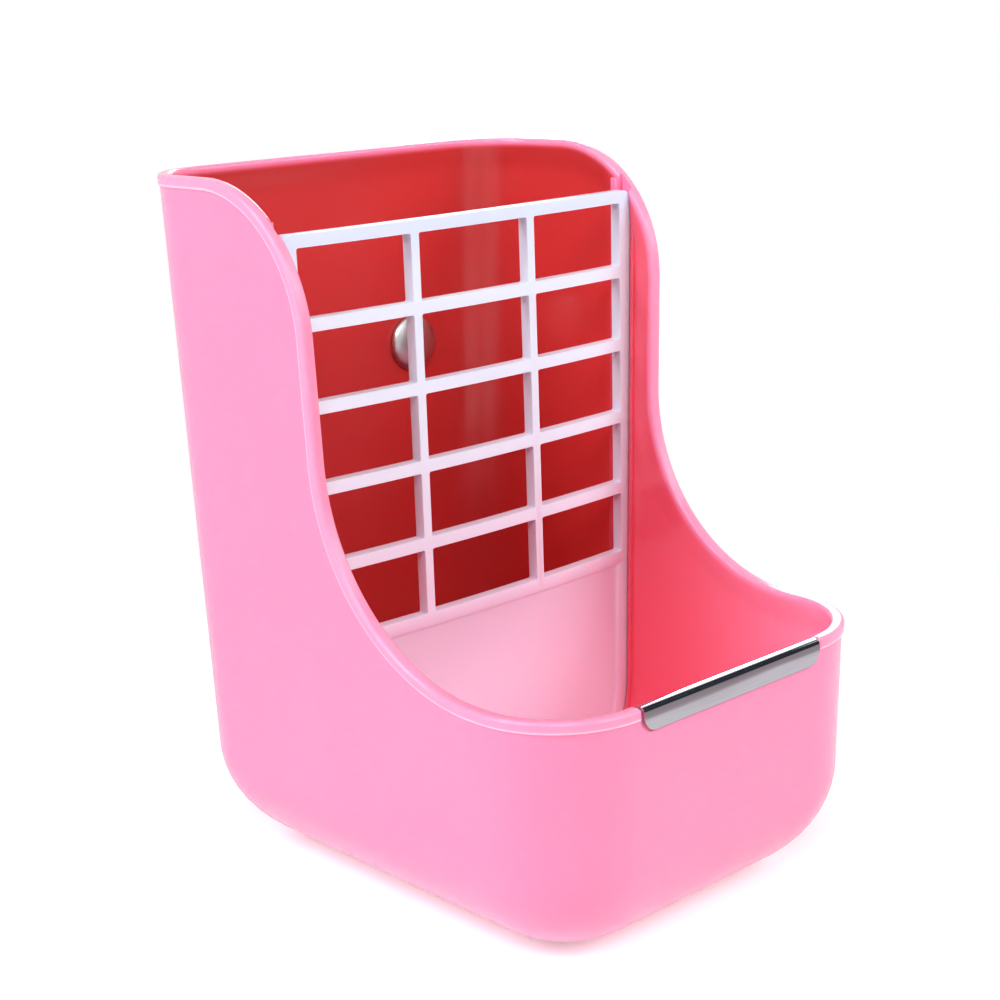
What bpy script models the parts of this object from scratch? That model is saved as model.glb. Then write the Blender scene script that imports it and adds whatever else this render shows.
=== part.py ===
"""Hay feeder box for small pets: a moulded box with a tall hopper and a low bowl.

A white rack lifts out of guides in the side walls, a steel strip guards the
bowl's front rim, and two bolts with clamp plates and wing nuts hold the flat
back against the wires of a cage.

Lengths are in metres. +Z is up, the bowl faces -Y and +X is to the right. The
origin is under the middle of the whole part, on the surface it stands on.
"""

import math

import bmesh
import bpy
from mathutils import Vector

# Box
BOX_HEIGHT = 0.185
BASE_WIDTH = 0.1138
BASE_DEPTH = 0.1467
SIDE_DRAFT = math.radians(2.0)
FRONT_DRAFT = math.radians(0.9)
BACK_CORNER_RADIUS = 0.0205
FRONT_CORNER_RADIUS = 0.0255
BOTTOM_RADIUS = 0.0297
FOOT_CORNER_RADIUS = 0.0060
WALL = 0.0015

# Side outline of the rim
TOP_RUN = 0.0322
CREST_RADIUS = 0.0368
SWEEP_RADIUS = 0.0502
BOWL_HEIGHT = 0.0677

# Bead round the rim
BEAD_DEPTH = 0.0031
BEAD_PROUD = 0.0006
BEAD_INWARD = 0.0014
BEAD_INNER_DEPTH = 0.0065
DROP_FOOT_SPREAD = 0.002
BEAD_EDGE_RADIUS = 0.0010

# Rack
RACK_FROM_BACK = 0.0594
RACK_THICKNESS = 0.0032
RACK_TOP = 0.1722
RACK_CROWN = 0.0023
RACK_LOW_SIDE_PLAY = 0.0003
RACK_TOP_SIDE_PLAY = 0.0005
RACK_FLOOR_PLAY = 0.0008
RACK_CORNER_RADIUS = 0.0020
BAR_HEIGHT = 0.0034
BAR_PITCH = 0.0206
BAR_CHAMFER = 0.0007
WINDOW_ROWS = 5
POST_WIDTH = 0.0027
POST_FROM_MIDDLE = 0.0201
OUTER_POST_TOP_WIDTH = 0.0044
OUTER_POST_LOW_WIDTH = 0.0021
PANEL_BORDER = 0.0050
PANEL_RECESS = 0.0008

# Rack guides on the side walls
REAR_GUIDE_REACH = 0.0024
FRONT_GUIDE_REACH = 0.0017
REAR_GUIDE_WIDTH = 0.0024
FRONT_GUIDE_WIDTH = 0.0012
GUIDE_PLAY = 0.0004
GUIDE_BELOW_RIM = 0.0012
GUIDE_ROOT = 0.0008
GUIDE_END_TURN = math.radians(24)
NOTCH_PLAY = 0.0003
NOTCH_BELOW_RACK_TOP = 0.014

# Steel guard on the front rim
GUARD_THICKNESS = 0.0005
GUARD_DROP = 0.0062
GUARD_INNER_DROP = 0.0050
GUARD_CORNER_RADIUS = 0.0040
GUARD_BEND_RADIUS = 0.0011
GUARD_PLAY = 0.0003
GUARD_END_PLAY = 0.0004
BEAD_END_RUN = 0.0008
BEAD_PAST_CORNER = 0.0004

# Cage fixings
CLAMP_FROM_MIDDLE = 0.028
CLAMP_HEIGHT = 0.128
BOLT_RADIUS = 0.0030
BOLT_REACH = 0.0240
BOLT_HEAD_RADIUS = 0.0080
BOLT_HEAD_HEIGHT = 0.0030
BOLT_END_CHAMFER = 0.0006
BOLT_PLAY = 0.0003
SEAT_PLAY = 0.0003
WIRE_SPACE = 0.0032
PLATE_RADIUS = 0.0140
PLATE_THICKNESS = 0.0030
PLATE_EDGE_RADIUS = 0.0008
NUT_HUB_RADIUS = 0.0070
NUT_NOSE_RADIUS = 0.0055
NUT_LENGTH = 0.0090
WING_SPAN = 0.0150
WING_TIP = 0.0040
WING_THICKNESS = 0.0030
WING_FOOT = 0.0012
WING_HEIGHT = 0.0125
WING_ROOT = 0.0010
WING_EDGE_RADIUS = 0.0006

# Overrun of every cutter past what it cuts
OVERRUN = 0.004

# Facets
BACK_RUN_STEPS = 2
BACK_CORNER_STEPS = 6
CREST_STEPS = 9
DROP_STEPS = 3
SWEEP_STEPS = 10
FRONT_CORNER_STEPS = 8
FRONT_RUN_STEPS = 3
BOTTOM_STEPS = 7
BEAD_EDGE_STEPS = 2
RACK_CORNER_STEPS = 3
RACK_BOTTOM_STEPS = 8
WINDOW_CROWN_STEPS = 3
ROUND_STEPS = 28
DOME_STEPS = 4
GUARD_BEND_STEPS = 3
GUARD_CORNER_STEPS = 3
GUIDE_STEPS = 3

MERGE_DISTANCE = 1e-7
BEVEL_PROFILE = 0.5
SHARP_ANGLE = math.radians(35)

# Materials: name, colour, metallic, roughness
MATERIALS = {
    "pink_plastic": ((1.0, 0.36, 0.60, 1.0), 0.0, 0.25),
    "white_plastic": ((0.86, 0.85, 0.92, 1.0), 0.0, 0.32),
    "polished_steel": ((0.74, 0.74, 0.76, 1.0), 1.0, 0.12),
    "zinc_steel": ((0.62, 0.63, 0.65, 1.0), 1.0, 0.34),
    "pale_plastic": ((0.80, 0.80, 0.84, 1.0), 0.0, 0.38),
}


def box_depth(z):
    return BASE_DEPTH + z * math.tan(FRONT_DRAFT)


def half_width(z):
    return BASE_WIDTH / 2 + z * math.tan(SIDE_DRAFT)


# Places along Y. Depths run forward from the outer face of the back wall.
FRONT_REACH = box_depth(BOWL_HEIGHT) + max(BEAD_PROUD, GUARD_PLAY + GUARD_THICKNESS)
NUT_START = WIRE_SPACE + PLATE_THICKNESS + SEAT_PLAY
BACK_REACH = max(BOLT_REACH, NUT_START + WING_HEIGHT)
Y_BACK = (FRONT_REACH - BACK_REACH) / 2
RACK_FRONT = Y_BACK - RACK_FROM_BACK
RACK_REAR = RACK_FRONT + RACK_THICKNESS

# Along the front rim, from the middle: the gap in the bead and the guard in it
FRONT_HALF_RUN = half_width(BOWL_HEIGHT) - FRONT_CORNER_RADIUS
BEAD_END = FRONT_HALF_RUN - BEAD_PAST_CORNER
GAP_END = BEAD_END - BEAD_END_RUN
GUARD_HALF_LENGTH = GAP_END - GUARD_END_PLAY

# Heights of the rack
RACK_BOTTOM = WALL + RACK_FLOOR_PLAY
LATTICE_TOP = RACK_TOP - BAR_HEIGHT
LATTICE_LOW = RACK_TOP - WINDOW_ROWS * BAR_PITCH
PANEL_TOP = LATTICE_LOW - BAR_HEIGHT

# Side outline of the rim, from the sizes above
DROP_FROM_BACK = TOP_RUN + CREST_RADIUS
CREST_START = BOX_HEIGHT - CREST_RADIUS
SWEEP_START = BOWL_HEIGHT + SWEEP_RADIUS
SIDE_END = box_depth(BOWL_HEIGHT) - FRONT_CORNER_RADIUS


def make_material(name):
    colour, metallic, roughness = MATERIALS[name]
    material = bpy.data.materials.new(name)
    material.use_nodes = True
    shader = material.node_tree.nodes["Principled BSDF"]
    shader.inputs["Base Color"].default_value = colour
    shader.inputs["Metallic"].default_value = metallic
    shader.inputs["Roughness"].default_value = roughness
    material.diffuse_color = colour
    return material


def new_object(name, bm, material=None):
    bmesh.ops.remove_doubles(bm, verts=bm.verts, dist=MERGE_DISTANCE)
    bmesh.ops.recalc_face_normals(bm, faces=bm.faces)
    mesh = bpy.data.meshes.new(name)
    bm.to_mesh(mesh)
    bm.free()
    obj = bpy.data.objects.new(name, mesh)
    bpy.context.scene.collection.objects.link(obj)
    if material:
        obj.data.materials.append(material)
    return obj


def new_helper(name, bm):
    """An object that only cuts or joins another."""
    obj = new_object(name, bm)
    obj.hide_render = True
    obj.display_type = "WIRE"
    return obj


def boolean(obj, other, operation):
    modifier = obj.modifiers.new(other.name, "BOOLEAN")
    modifier.solver = "EXACT"
    modifier.operation = operation
    modifier.object = other


def bake(obj):
    """Makes the object's modifiers part of its mesh."""
    graph = bpy.context.evaluated_depsgraph_get()
    mesh = bpy.data.meshes.new_from_object(obj.evaluated_get(graph))
    obj.modifiers.clear()
    obj.data = mesh


def smooth(obj):
    obj.data.shade_smooth()
    obj.data.set_sharp_from_angle(angle=SHARP_ANGLE)


def shares(steps):
    return [i / steps for i in range(steps + 1)]


def quarter_turns(steps):
    return [share * math.pi / 2 for share in shares(steps)]


def add_grid(bm, rows, closed):
    """Quads between rows of points. closed joins each row's end to its start."""
    verts = [[bm.verts.new(point) for point in row] for row in rows]
    for low, high in zip(verts, verts[1:]):
        for i in range(len(low) if closed else len(low) - 1):
            j = (i + 1) % len(low)
            bm.faces.new((low[i], low[j], high[j], high[i]))
    return verts


def tube_mesh(rows):
    """A closed body through rows of points, each row a closed loop."""
    bm = bmesh.new()
    verts = add_grid(bm, rows, closed=True)
    bm.faces.new(verts[0])
    bm.faces.new(verts[-1])
    return bm


def ring_points(radius, y):
    """A circle round the Y axis."""
    turns = [i / ROUND_STEPS * math.tau for i in range(ROUND_STEPS)]
    return [(radius * math.cos(turn), y, radius * math.sin(turn)) for turn in turns]


def turned_mesh(profile):
    """A solid turned round the Y axis from pairs of radius and y."""
    return tube_mesh([ring_points(radius, y) for radius, y in profile])


def bored_mesh(profile):
    """A turned ring, whose profile closes on itself."""
    bm = bmesh.new()
    add_grid(bm, [ring_points(radius, y) for radius, y in profile + profile[:1]], closed=True)
    return bm


# The wall, as columns round half of the box. Each column is
# (kind, share, z, out, up, from_back): the stretch of wall and the share of the
# way along it, the rim's height, the direction that leads out of the wall's
# edge, and on the side wall the rim's distance from the back.
def outline_point(kind, share, half, front, back, front_radius, back_radius, z):
    """A point of a plan outline with round corners, from x = half to the middle."""
    if kind == "back":
        return Vector((share * (half - back_radius), back, z))
    if kind == "back_corner":
        turn = share * math.pi / 2
        x = half - back_radius + back_radius * math.sin(turn)
        return Vector((x, back - back_radius + back_radius * math.cos(turn), z))
    if kind == "side":
        start = back - back_radius
        return Vector((half, start + share * (front + front_radius - start), z))
    if kind == "front_corner":
        turn = share * math.pi / 2
        x = half - front_radius + front_radius * math.cos(turn)
        return Vector((x, front + front_radius - front_radius * math.sin(turn), z))
    return Vector(((1 - share) * (half - front_radius), front, z))


def edge_point(column, inset, below):
    """A point of the wall near the rim: inset from the outer face, below the edge."""
    kind, share, z, out, up, from_back = column
    height = z - up * below
    half = half_width(height) - inset
    if kind == "side":
        return Vector((half, Y_BACK - from_back + out * below, height))
    front = Y_BACK - box_depth(height) + inset
    radii = (FRONT_CORNER_RADIUS - inset, BACK_CORNER_RADIUS - inset)
    return outline_point(kind, share, half, front, Y_BACK - inset, *radii, height)


def foot_point(column, inset, turn):
    """A point of the rounded foot. It starts on the wall and ends on the floor."""
    kind, share = column[:2]
    radius = BOTTOM_RADIUS - inset
    moved_in = BOTTOM_RADIUS - radius * math.cos(turn)
    way_in = moved_in / BOTTOM_RADIUS
    front_radius = FRONT_CORNER_RADIUS + way_in * (FOOT_CORNER_RADIUS - FRONT_CORNER_RADIUS)
    back_radius = BACK_CORNER_RADIUS + way_in * (FOOT_CORNER_RADIUS - BACK_CORNER_RADIUS)
    half = half_width(BOTTOM_RADIUS) - moved_in
    front = Y_BACK - box_depth(BOTTOM_RADIUS) + moved_in
    z = BOTTOM_RADIUS - radius * math.sin(turn)
    return outline_point(kind, share, half, front, Y_BACK - moved_in, front_radius, back_radius, z)


def sweep_turn(from_back):
    """How far the sweep has turned, at a distance from the back."""
    return math.acos(min(max(1 - (from_back - DROP_FROM_BACK) / SWEEP_RADIUS, 0), 1))


def side_path():
    """The rim along the side: (from_back, z, out, up), from the back to the bowl."""
    path = []
    for turn in quarter_turns(CREST_STEPS):
        out, up = math.sin(turn), math.cos(turn)
        path.append((TOP_RUN + CREST_RADIUS * out, CREST_START + CREST_RADIUS * up, out, up))
    for share in shares(DROP_STEPS)[1:-1]:
        path.append((DROP_FROM_BACK, CREST_START + share * (SWEEP_START - CREST_START), 1, 0))
    last_turn = sweep_turn(min(DROP_FROM_BACK + SWEEP_RADIUS, SIDE_END))
    for share in shares(SWEEP_STEPS):
        out, up = math.cos(share * last_turn), math.sin(share * last_turn)
        from_back = DROP_FROM_BACK + SWEEP_RADIUS * (1 - out)
        path.append((from_back, SWEEP_START - SWEEP_RADIUS * up, out, up))
    return [point for point in path if point[0] < SIDE_END - MERGE_DISTANCE]


def rim_height(from_back):
    """Height of the rim at a distance from the back: level, crest, sweep or bowl."""
    if from_back <= TOP_RUN:
        return BOX_HEIGHT
    if from_back <= DROP_FROM_BACK:
        return CREST_START + math.sqrt(CREST_RADIUS**2 - (from_back - TOP_RUN) ** 2)
    to_bowl = max(DROP_FROM_BACK + SWEEP_RADIUS - from_back, 0)
    return SWEEP_START - math.sqrt(SWEEP_RADIUS**2 - to_bowl**2)


def half_columns():
    """Columns from the middle of the back, round one side, to the middle of the front."""
    columns = [("back", share, BOX_HEIGHT, 0, 1, 0) for share in shares(BACK_RUN_STEPS)[:-1]]
    columns += [("back_corner", share, BOX_HEIGHT, 0, 1, 0) for share in shares(BACK_CORNER_STEPS)[:-1]]
    columns.append(("side", 0, BOX_HEIGHT, 0, 1, BACK_CORNER_RADIUS))
    # Each column stands on the foot under its own inner edge. Those under the straight
    # drop of the rim would meet there, so they spread out behind it.
    path = side_path()
    for i, (from_back, z, out, up) in enumerate(path):
        to_drop = min(i / CREST_STEPS, 1)
        down_drop = min(max((i - CREST_STEPS) / DROP_STEPS, 0), 1)
        on_foot = from_back - out * BEAD_INNER_DEPTH - DROP_FOOT_SPREAD * to_drop * (1 - down_drop)
        share = (on_foot - BACK_CORNER_RADIUS) / (SIDE_END - BACK_CORNER_RADIUS)
        columns.append(("side", share, z, out, up, from_back))
    # A long sweep runs on round the front corner.
    for share in shares(FRONT_CORNER_STEPS):
        from_back = SIDE_END + FRONT_CORNER_RADIUS * math.sin(share * math.pi / 2)
        turn = sweep_turn(from_back)
        columns.append(("front_corner", share, rim_height(from_back), math.cos(turn), math.sin(turn), 0))
    columns.append(("front", 1 - BEAD_END / FRONT_HALF_RUN, BOWL_HEIGHT, 0, 1, 0))
    gap_share = GAP_END / FRONT_HALF_RUN
    for share in shares(FRONT_RUN_STEPS):
        columns.append(("guarded", 1 - gap_share * (1 - share), BOWL_HEIGHT, 0, 1, 0))
    return columns


def edge_profile(column):
    """Pairs of inset and depth below the rim, over the edge from outside to inside."""
    kind, share = column[:2]
    if kind == "guarded":
        lowered = GUARD_THICKNESS + GUARD_PLAY
        proud, inward = 0, 0
        radius = WALL / 2 * BEAD_EDGE_RADIUS / (BEAD_EDGE_RADIUS + BEAD_PROUD)
    else:
        lowered = 0
        proud = BEAD_PROUD * {"back": 0, "back_corner": share}.get(kind, 1)
        inward = BEAD_INWARD
        radius = BEAD_EDGE_RADIUS
    inner = WALL + inward
    profile = [(0, BEAD_DEPTH), (-proud, BEAD_DEPTH)]
    for turn in quarter_turns(BEAD_EDGE_STEPS):
        profile.append((-proud + radius * (1 - math.cos(turn)), lowered + radius * (1 - math.sin(turn))))
    for turn in reversed(quarter_turns(BEAD_EDGE_STEPS)):
        profile.append((inner - radius * (1 - math.cos(turn)), lowered + radius * (1 - math.sin(turn))))
    return profile + [(WALL, BEAD_INNER_DEPTH)]


def shell_mesh():
    columns = half_columns()
    sided = [(column, 1) for column in columns] + [(column, -1) for column in columns[-2:0:-1]]

    def row(point_of):
        points = []
        for column, side in sided:
            point = point_of(column)
            points.append((side * point.x, point.y, point.z))
        return points

    turns = quarter_turns(BOTTOM_STEPS)
    rows = [row(lambda column: foot_point(column, 0, turn)) for turn in reversed(turns)]
    for k in range(len(edge_profile(columns[0]))):
        rows.append(row(lambda column: edge_point(column, *edge_profile(column)[k])))
    rows += [row(lambda column: foot_point(column, WALL, turn)) for turn in turns]
    return tube_mesh(rows)


def inner_side_point(z_or_turn, inset, on_foot):
    """(x, z) of the right wall's section at an inset from its outer face."""
    if not on_foot:
        return half_width(z_or_turn) - inset, z_or_turn
    radius = BOTTOM_RADIUS - inset
    x = half_width(BOTTOM_RADIUS) - BOTTOM_RADIUS + radius * math.cos(z_or_turn)
    return x, BOTTOM_RADIUS - radius * math.sin(z_or_turn)


def guide_mesh(side, front_y, width, reach):
    """A rib that follows a side wall from under the rim to the rounded foot."""
    top = rim_height(Y_BACK - front_y) - GUIDE_BELOW_RIM
    stations = [(top, False)]
    stations += [(share * GUIDE_END_TURN, True) for share in shares(GUIDE_STEPS)]
    rows = []
    for place, on_foot in stations:
        x_tip, z_tip = inner_side_point(place, WALL + reach, on_foot)
        x_root, z_root = inner_side_point(place, WALL - GUIDE_ROOT, on_foot)
        loop = [(x_tip, front_y, z_tip), (x_tip, front_y + width, z_tip)]
        loop += [(x_root, front_y + width, z_root), (x_root, front_y, z_root)]
        rows.append([(side * x, y, z) for x, y, z in loop])
    return tube_mesh(rows)


def notch_mesh(side):
    """The slot that lets the rack's edge up through the bead."""
    low = RACK_TOP - NOTCH_BELOW_RACK_TOP
    high = BOX_HEIGHT + OVERRUN
    rear = RACK_REAR + GUIDE_PLAY
    front = RACK_FRONT - GUIDE_PLAY
    rows = []
    for z in (low, high):
        deep = rack_half_width(z) + NOTCH_PLAY
        near = deep - BEAD_INWARD - OVERRUN
        loop = [(near, front, z), (deep, front, z), (deep, rear, z), (near, rear, z)]
        rows.append([(side * x, y, height) for x, y, height in loop])
    return tube_mesh(rows)


def rod_mesh(radius, y_start, y_end):
    return turned_mesh([(radius, y_start), (radius, y_end)])


def place_on_clamp(bm, side):
    """Moves a mesh made round the Y axis to the bolt's axis on one side."""
    bmesh.ops.translate(bm, verts=bm.verts, vec=(side * CLAMP_FROM_MIDDLE, Y_BACK, CLAMP_HEIGHT))
    return bm


def build_body_shell(material):
    shell = new_object("body_shell", shell_mesh(), material)
    rear_y = RACK_REAR + GUIDE_PLAY
    front_y = RACK_FRONT - GUIDE_PLAY - FRONT_GUIDE_WIDTH
    for side, word in ((-1, "left"), (1, "right")):
        rear = guide_mesh(side, rear_y, REAR_GUIDE_WIDTH, REAR_GUIDE_REACH)
        front = guide_mesh(side, front_y, FRONT_GUIDE_WIDTH, FRONT_GUIDE_REACH)
        boolean(shell, new_helper(f"{word}_rear_guide_join", rear), "UNION")
        boolean(shell, new_helper(f"{word}_front_guide_join", front), "UNION")
    for side, word in ((-1, "left"), (1, "right")):
        hole = rod_mesh(BOLT_RADIUS + BOLT_PLAY, -WALL - OVERRUN, OVERRUN)
        boolean(shell, new_helper(f"{word}_notch_cut", notch_mesh(side)), "DIFFERENCE")
        boolean(shell, new_helper(f"{word}_bolt_cut", place_on_clamp(hole, side)), "DIFFERENCE")
    bake(shell)
    smooth(shell)


# The rack, flat at first and then bowed forward
def rack_half_width(z):
    side_play = RACK_LOW_SIDE_PLAY + z / RACK_TOP * (RACK_TOP_SIDE_PLAY - RACK_LOW_SIDE_PLAY)
    return half_width(z) - WALL - side_play


def rack_outline(border, top):
    """Points (x, z) of the rack's outline moved in by border, up to the height top."""
    radius = BOTTOM_RADIUS - WALL - RACK_LOW_SIDE_PLAY - border
    centre = rack_half_width(BOTTOM_RADIUS) - border - radius
    low = RACK_BOTTOM + border
    end_turn = math.asin((BOTTOM_RADIUS - low) / radius)
    right = []
    for share in reversed(shares(RACK_BOTTOM_STEPS)):
        turn = share * end_turn
        right.append((centre + radius * math.cos(turn), BOTTOM_RADIUS - radius * math.sin(turn)))
    corner = RACK_CORNER_RADIUS
    for turn in quarter_turns(RACK_CORNER_STEPS):
        z = top - corner + corner * math.sin(turn)
        right.append((rack_half_width(z) - border - corner * (1 - math.cos(turn)), z))
    return right + [(-x, z) for x, z in reversed(right)]


def plate_mesh(outlines):
    """A plate through pairs of an outline in X and Z and its place along Y."""
    return tube_mesh([[(x, y, z) for x, z in outline] for outline, y in outlines])


def window_outline(column, row, grown):
    """Points (x, z) of one window of the lattice, made larger by grown on each side."""
    low = LATTICE_LOW + row * BAR_PITCH - grown
    high = LATTICE_LOW + (row + 1) * BAR_PITCH - BAR_HEIGHT + grown
    inner = POST_FROM_MIDDLE + POST_WIDTH / 2 - grown
    if column == 0:
        inner = POST_WIDTH / 2 - POST_FROM_MIDDLE - grown
    outline = []
    for z, x_is_outer in ((low, False), (low, True), (high, True), (high, False)):
        x = inner
        if x_is_outer and column == 0:
            x = -inner
        elif x_is_outer:
            up_share = (z - LATTICE_LOW) / (LATTICE_TOP - LATTICE_LOW)
            post = OUTER_POST_LOW_WIDTH + up_share * (OUTER_POST_TOP_WIDTH - OUTER_POST_LOW_WIDTH)
            x = rack_half_width(z) - post + grown
        outline.append((column * x if column else x, z))
    return outline


def window_mesh(column, row):
    """Cuts one window through the rack and chamfers its front edges."""
    wide = window_outline(column, row, BAR_CHAMFER)
    plain = window_outline(column, row, 0)
    stations = [(wide, RACK_FRONT - OVERRUN), (wide, RACK_FRONT)]
    stations += [(plain, RACK_FRONT + BAR_CHAMFER), (plain, RACK_REAR + OVERRUN)]
    return plate_mesh(stations)


def bow_rack(rack):
    """Divides the rack into upright strips and bows it forward in the middle."""
    bm = bmesh.new()
    bm.from_mesh(rack.data)
    edges = [POST_FROM_MIDDLE + POST_WIDTH / 2, rack_half_width(LATTICE_LOW) - OUTER_POST_LOW_WIDTH]
    cuts = []
    for start, end in ((POST_WIDTH / 2 - POST_FROM_MIDDLE, POST_FROM_MIDDLE - POST_WIDTH / 2), tuple(edges)):
        cuts += [start + share * (end - start) for share in shares(WINDOW_CROWN_STEPS)]
    for x in sorted({side * x for x in cuts for side in (-1, 1)}):
        everything = bm.verts[:] + bm.edges[:] + bm.faces[:]
        plane = {"plane_co": (x, 0, 0), "plane_no": (1, 0, 0)}
        bmesh.ops.bisect_plane(bm, geom=everything, dist=MERGE_DISTANCE, **plane)
    for vert in bm.verts:
        half = rack_half_width(max(vert.co.z, BOTTOM_RADIUS))
        vert.co.y -= RACK_CROWN * (1 - (vert.co.x / half) ** 2)
    bmesh.ops.triangulate(bm, faces=bm.faces)
    bm.to_mesh(rack.data)
    bm.free()


def build_hay_rack(material):
    face = rack_outline(BAR_CHAMFER, RACK_TOP - BAR_CHAMFER)
    edge = rack_outline(0, RACK_TOP)
    plate = plate_mesh([(face, RACK_FRONT), (edge, RACK_FRONT + BAR_CHAMFER), (edge, RACK_REAR)])
    rack = new_object("hay_rack", plate, material)
    panel = rack_outline(PANEL_BORDER, PANEL_TOP)
    recess = plate_mesh([(panel, RACK_FRONT - OVERRUN), (panel, RACK_FRONT + PANEL_RECESS)])
    boolean(rack, new_helper("panel_cut", recess), "DIFFERENCE")
    for row in range(WINDOW_ROWS):
        for column in (-1, 0, 1):
            cut = new_helper(f"window_{row}_{column + 1}_cut", window_mesh(column, row))
            boolean(rack, cut, "DIFFERENCE")
    bake(rack)
    bow_rack(rack)
    smooth(rack)


def guard_profile():
    """Pairs of depth from the wall's outer face and height, with the half length
    there. The first list is the guard's outside, the second its inside."""
    outer_y = -GUARD_PLAY - GUARD_THICKNESS
    inner_y = WALL + GUARD_PLAY + GUARD_THICKNESS
    bend = GUARD_BEND_RADIUS
    half = GUARD_HALF_LENGTH
    stations = []
    for turn in quarter_turns(GUARD_CORNER_STEPS):
        cut = GUARD_CORNER_RADIUS * (1 - math.sin(turn))
        low = GUARD_CORNER_RADIUS * (1 - math.cos(turn))
        stations.append((outer_y, low - GUARD_DROP, half - cut, 1, 0))
    for turn in quarter_turns(GUARD_BEND_STEPS):
        out, up = math.cos(turn), math.sin(turn)
        stations.append((outer_y + bend * (1 - out), bend * (up - 1), half, out, up))
    for turn in reversed(quarter_turns(GUARD_BEND_STEPS)):
        out, up = math.cos(turn), math.sin(turn)
        stations.append((inner_y - bend * (1 - out), bend * (up - 1), half, -out, up))
    stations.append((inner_y, -GUARD_INNER_DROP, half, -1, 0))
    outside = [(y, z, length) for y, z, length, out, up in stations]
    thick = GUARD_THICKNESS
    inside = [(y + thick * out, z - thick * up, length) for y, z, length, out, up in stations]
    return outside, inside


def build_steel_guard(material):
    outside, inside = guard_profile()
    wall_y = Y_BACK - box_depth(BOWL_HEIGHT)
    bm = bmesh.new()
    ends = []
    for side in (-1, 1):
        loops = []
        for stations in (outside, inside):
            points = [(side * length, wall_y + y, BOWL_HEIGHT + z) for y, z, length in stations]
            loops.append([bm.verts.new(point) for point in points])
        ends.append(loops)
    (left_out, left_in), (right_out, right_in) = ends
    faces_between = [(left_out, right_out), (left_in, right_in), (left_out, left_in), (right_out, right_in)]
    for first, second in faces_between:
        for i in range(len(first) - 1):
            bm.faces.new((first[i], first[i + 1], second[i + 1], second[i]))
    for end in (0, -1):
        bm.faces.new((left_out[end], right_out[end], right_in[end], left_in[end]))
    smooth(new_object("steel_guard", bm, material))


def build_clamp_bolt(side, word, material):
    dome_start = -WALL - SEAT_PLAY
    profile = [(BOLT_RADIUS - BOLT_END_CHAMFER, BOLT_REACH), (BOLT_RADIUS, BOLT_REACH - BOLT_END_CHAMFER)]
    profile += [(BOLT_RADIUS, dome_start), (BOLT_HEAD_RADIUS, dome_start)]
    for turn in quarter_turns(DOME_STEPS + 1)[1:-1]:
        profile.append((BOLT_HEAD_RADIUS * math.cos(turn), dome_start - BOLT_HEAD_HEIGHT * math.sin(turn)))
    bolt = place_on_clamp(turned_mesh(profile), side)
    smooth(new_object(f"{word}_clamp_bolt", bolt, material))


def build_clamp_plate(side, word, material):
    bore = BOLT_RADIUS + BOLT_PLAY
    near, far = WIRE_SPACE, WIRE_SPACE + PLATE_THICKNESS
    edge = PLATE_EDGE_RADIUS
    profile = [(bore, near), (PLATE_RADIUS - edge, near), (PLATE_RADIUS, near + edge)]
    profile += [(PLATE_RADIUS, far - edge), (PLATE_RADIUS - edge, far), (bore, far)]
    plate = place_on_clamp(bored_mesh(profile), side)
    smooth(new_object(f"{word}_clamp_plate", plate, material))


def wing_mesh(direction):
    """One wing of the nut, an upright plate that starts inside the hub."""
    start = BOLT_RADIUS + BOLT_PLAY + WING_ROOT
    foot = NUT_START + WING_FOOT
    top = NUT_START + WING_HEIGHT
    outline = [(start, foot), (NUT_HUB_RADIUS, foot), (WING_SPAN - WING_TIP / 2, foot + WING_TIP)]
    outline += [(WING_SPAN, top - WING_TIP / 2), (WING_SPAN - WING_TIP / 2, top)]
    outline += [(WING_SPAN - WING_TIP, top), (NUT_NOSE_RADIUS, NUT_START + NUT_LENGTH - WING_TIP / 2)]
    outline += [(start, NUT_START + NUT_LENGTH - WING_TIP)]
    half = WING_THICKNESS / 2
    rows = [[(x, y, direction * z) for z, y in outline] for x in (-half, half)]
    bm = tube_mesh(rows)
    flat_edges = [edge for edge in bm.edges if edge.verts[0].co.x == edge.verts[1].co.x]
    how = {"affect": "EDGES", "segments": 1, "profile": BEVEL_PROFILE, "material": -1}
    bmesh.ops.bevel(bm, geom=flat_edges, offset=WING_EDGE_RADIUS, **how)
    return bm


def build_wing_nut(side, word, material):
    bore = BOLT_RADIUS + BOLT_PLAY
    end = NUT_START + NUT_LENGTH
    profile = [(bore, NUT_START), (NUT_HUB_RADIUS, NUT_START), (NUT_NOSE_RADIUS, end), (bore, end)]
    nut = new_object(f"{word}_wing_nut", place_on_clamp(bored_mesh(profile), side), material)
    for direction, place in ((-1, "near"), (1, "far")):
        wing = new_helper(f"{word}_{place}_wing_join", place_on_clamp(wing_mesh(direction), side))
        boolean(nut, wing, "UNION")
    bake(nut)
    smooth(nut)


def main():
    for obj in list(bpy.data.objects):
        bpy.data.objects.remove(obj)
    materials = {name: make_material(name) for name in MATERIALS}
    build_body_shell(materials["pink_plastic"])
    build_hay_rack(materials["white_plastic"])
    build_steel_guard(materials["polished_steel"])
    for side, word in ((-1, "left"), (1, "right")):
        build_clamp_bolt(side, word, materials["zinc_steel"])
        build_clamp_plate(side, word, materials["pale_plastic"])
        build_wing_nut(side, word, materials["pale_plastic"])


main()
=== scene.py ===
"""Looks of the hay feeder box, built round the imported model.

The moulded pink box, the white lift-out rack, the steel guard on the front rim
and the cage fixings on the back each get a fine mesh and a finish. Lengths are
in metres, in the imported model's own frame: +Z is up and the bowl faces -Y.
"""

import math

import bmesh
import bpy
from mathutils import Matrix, Vector


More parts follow.
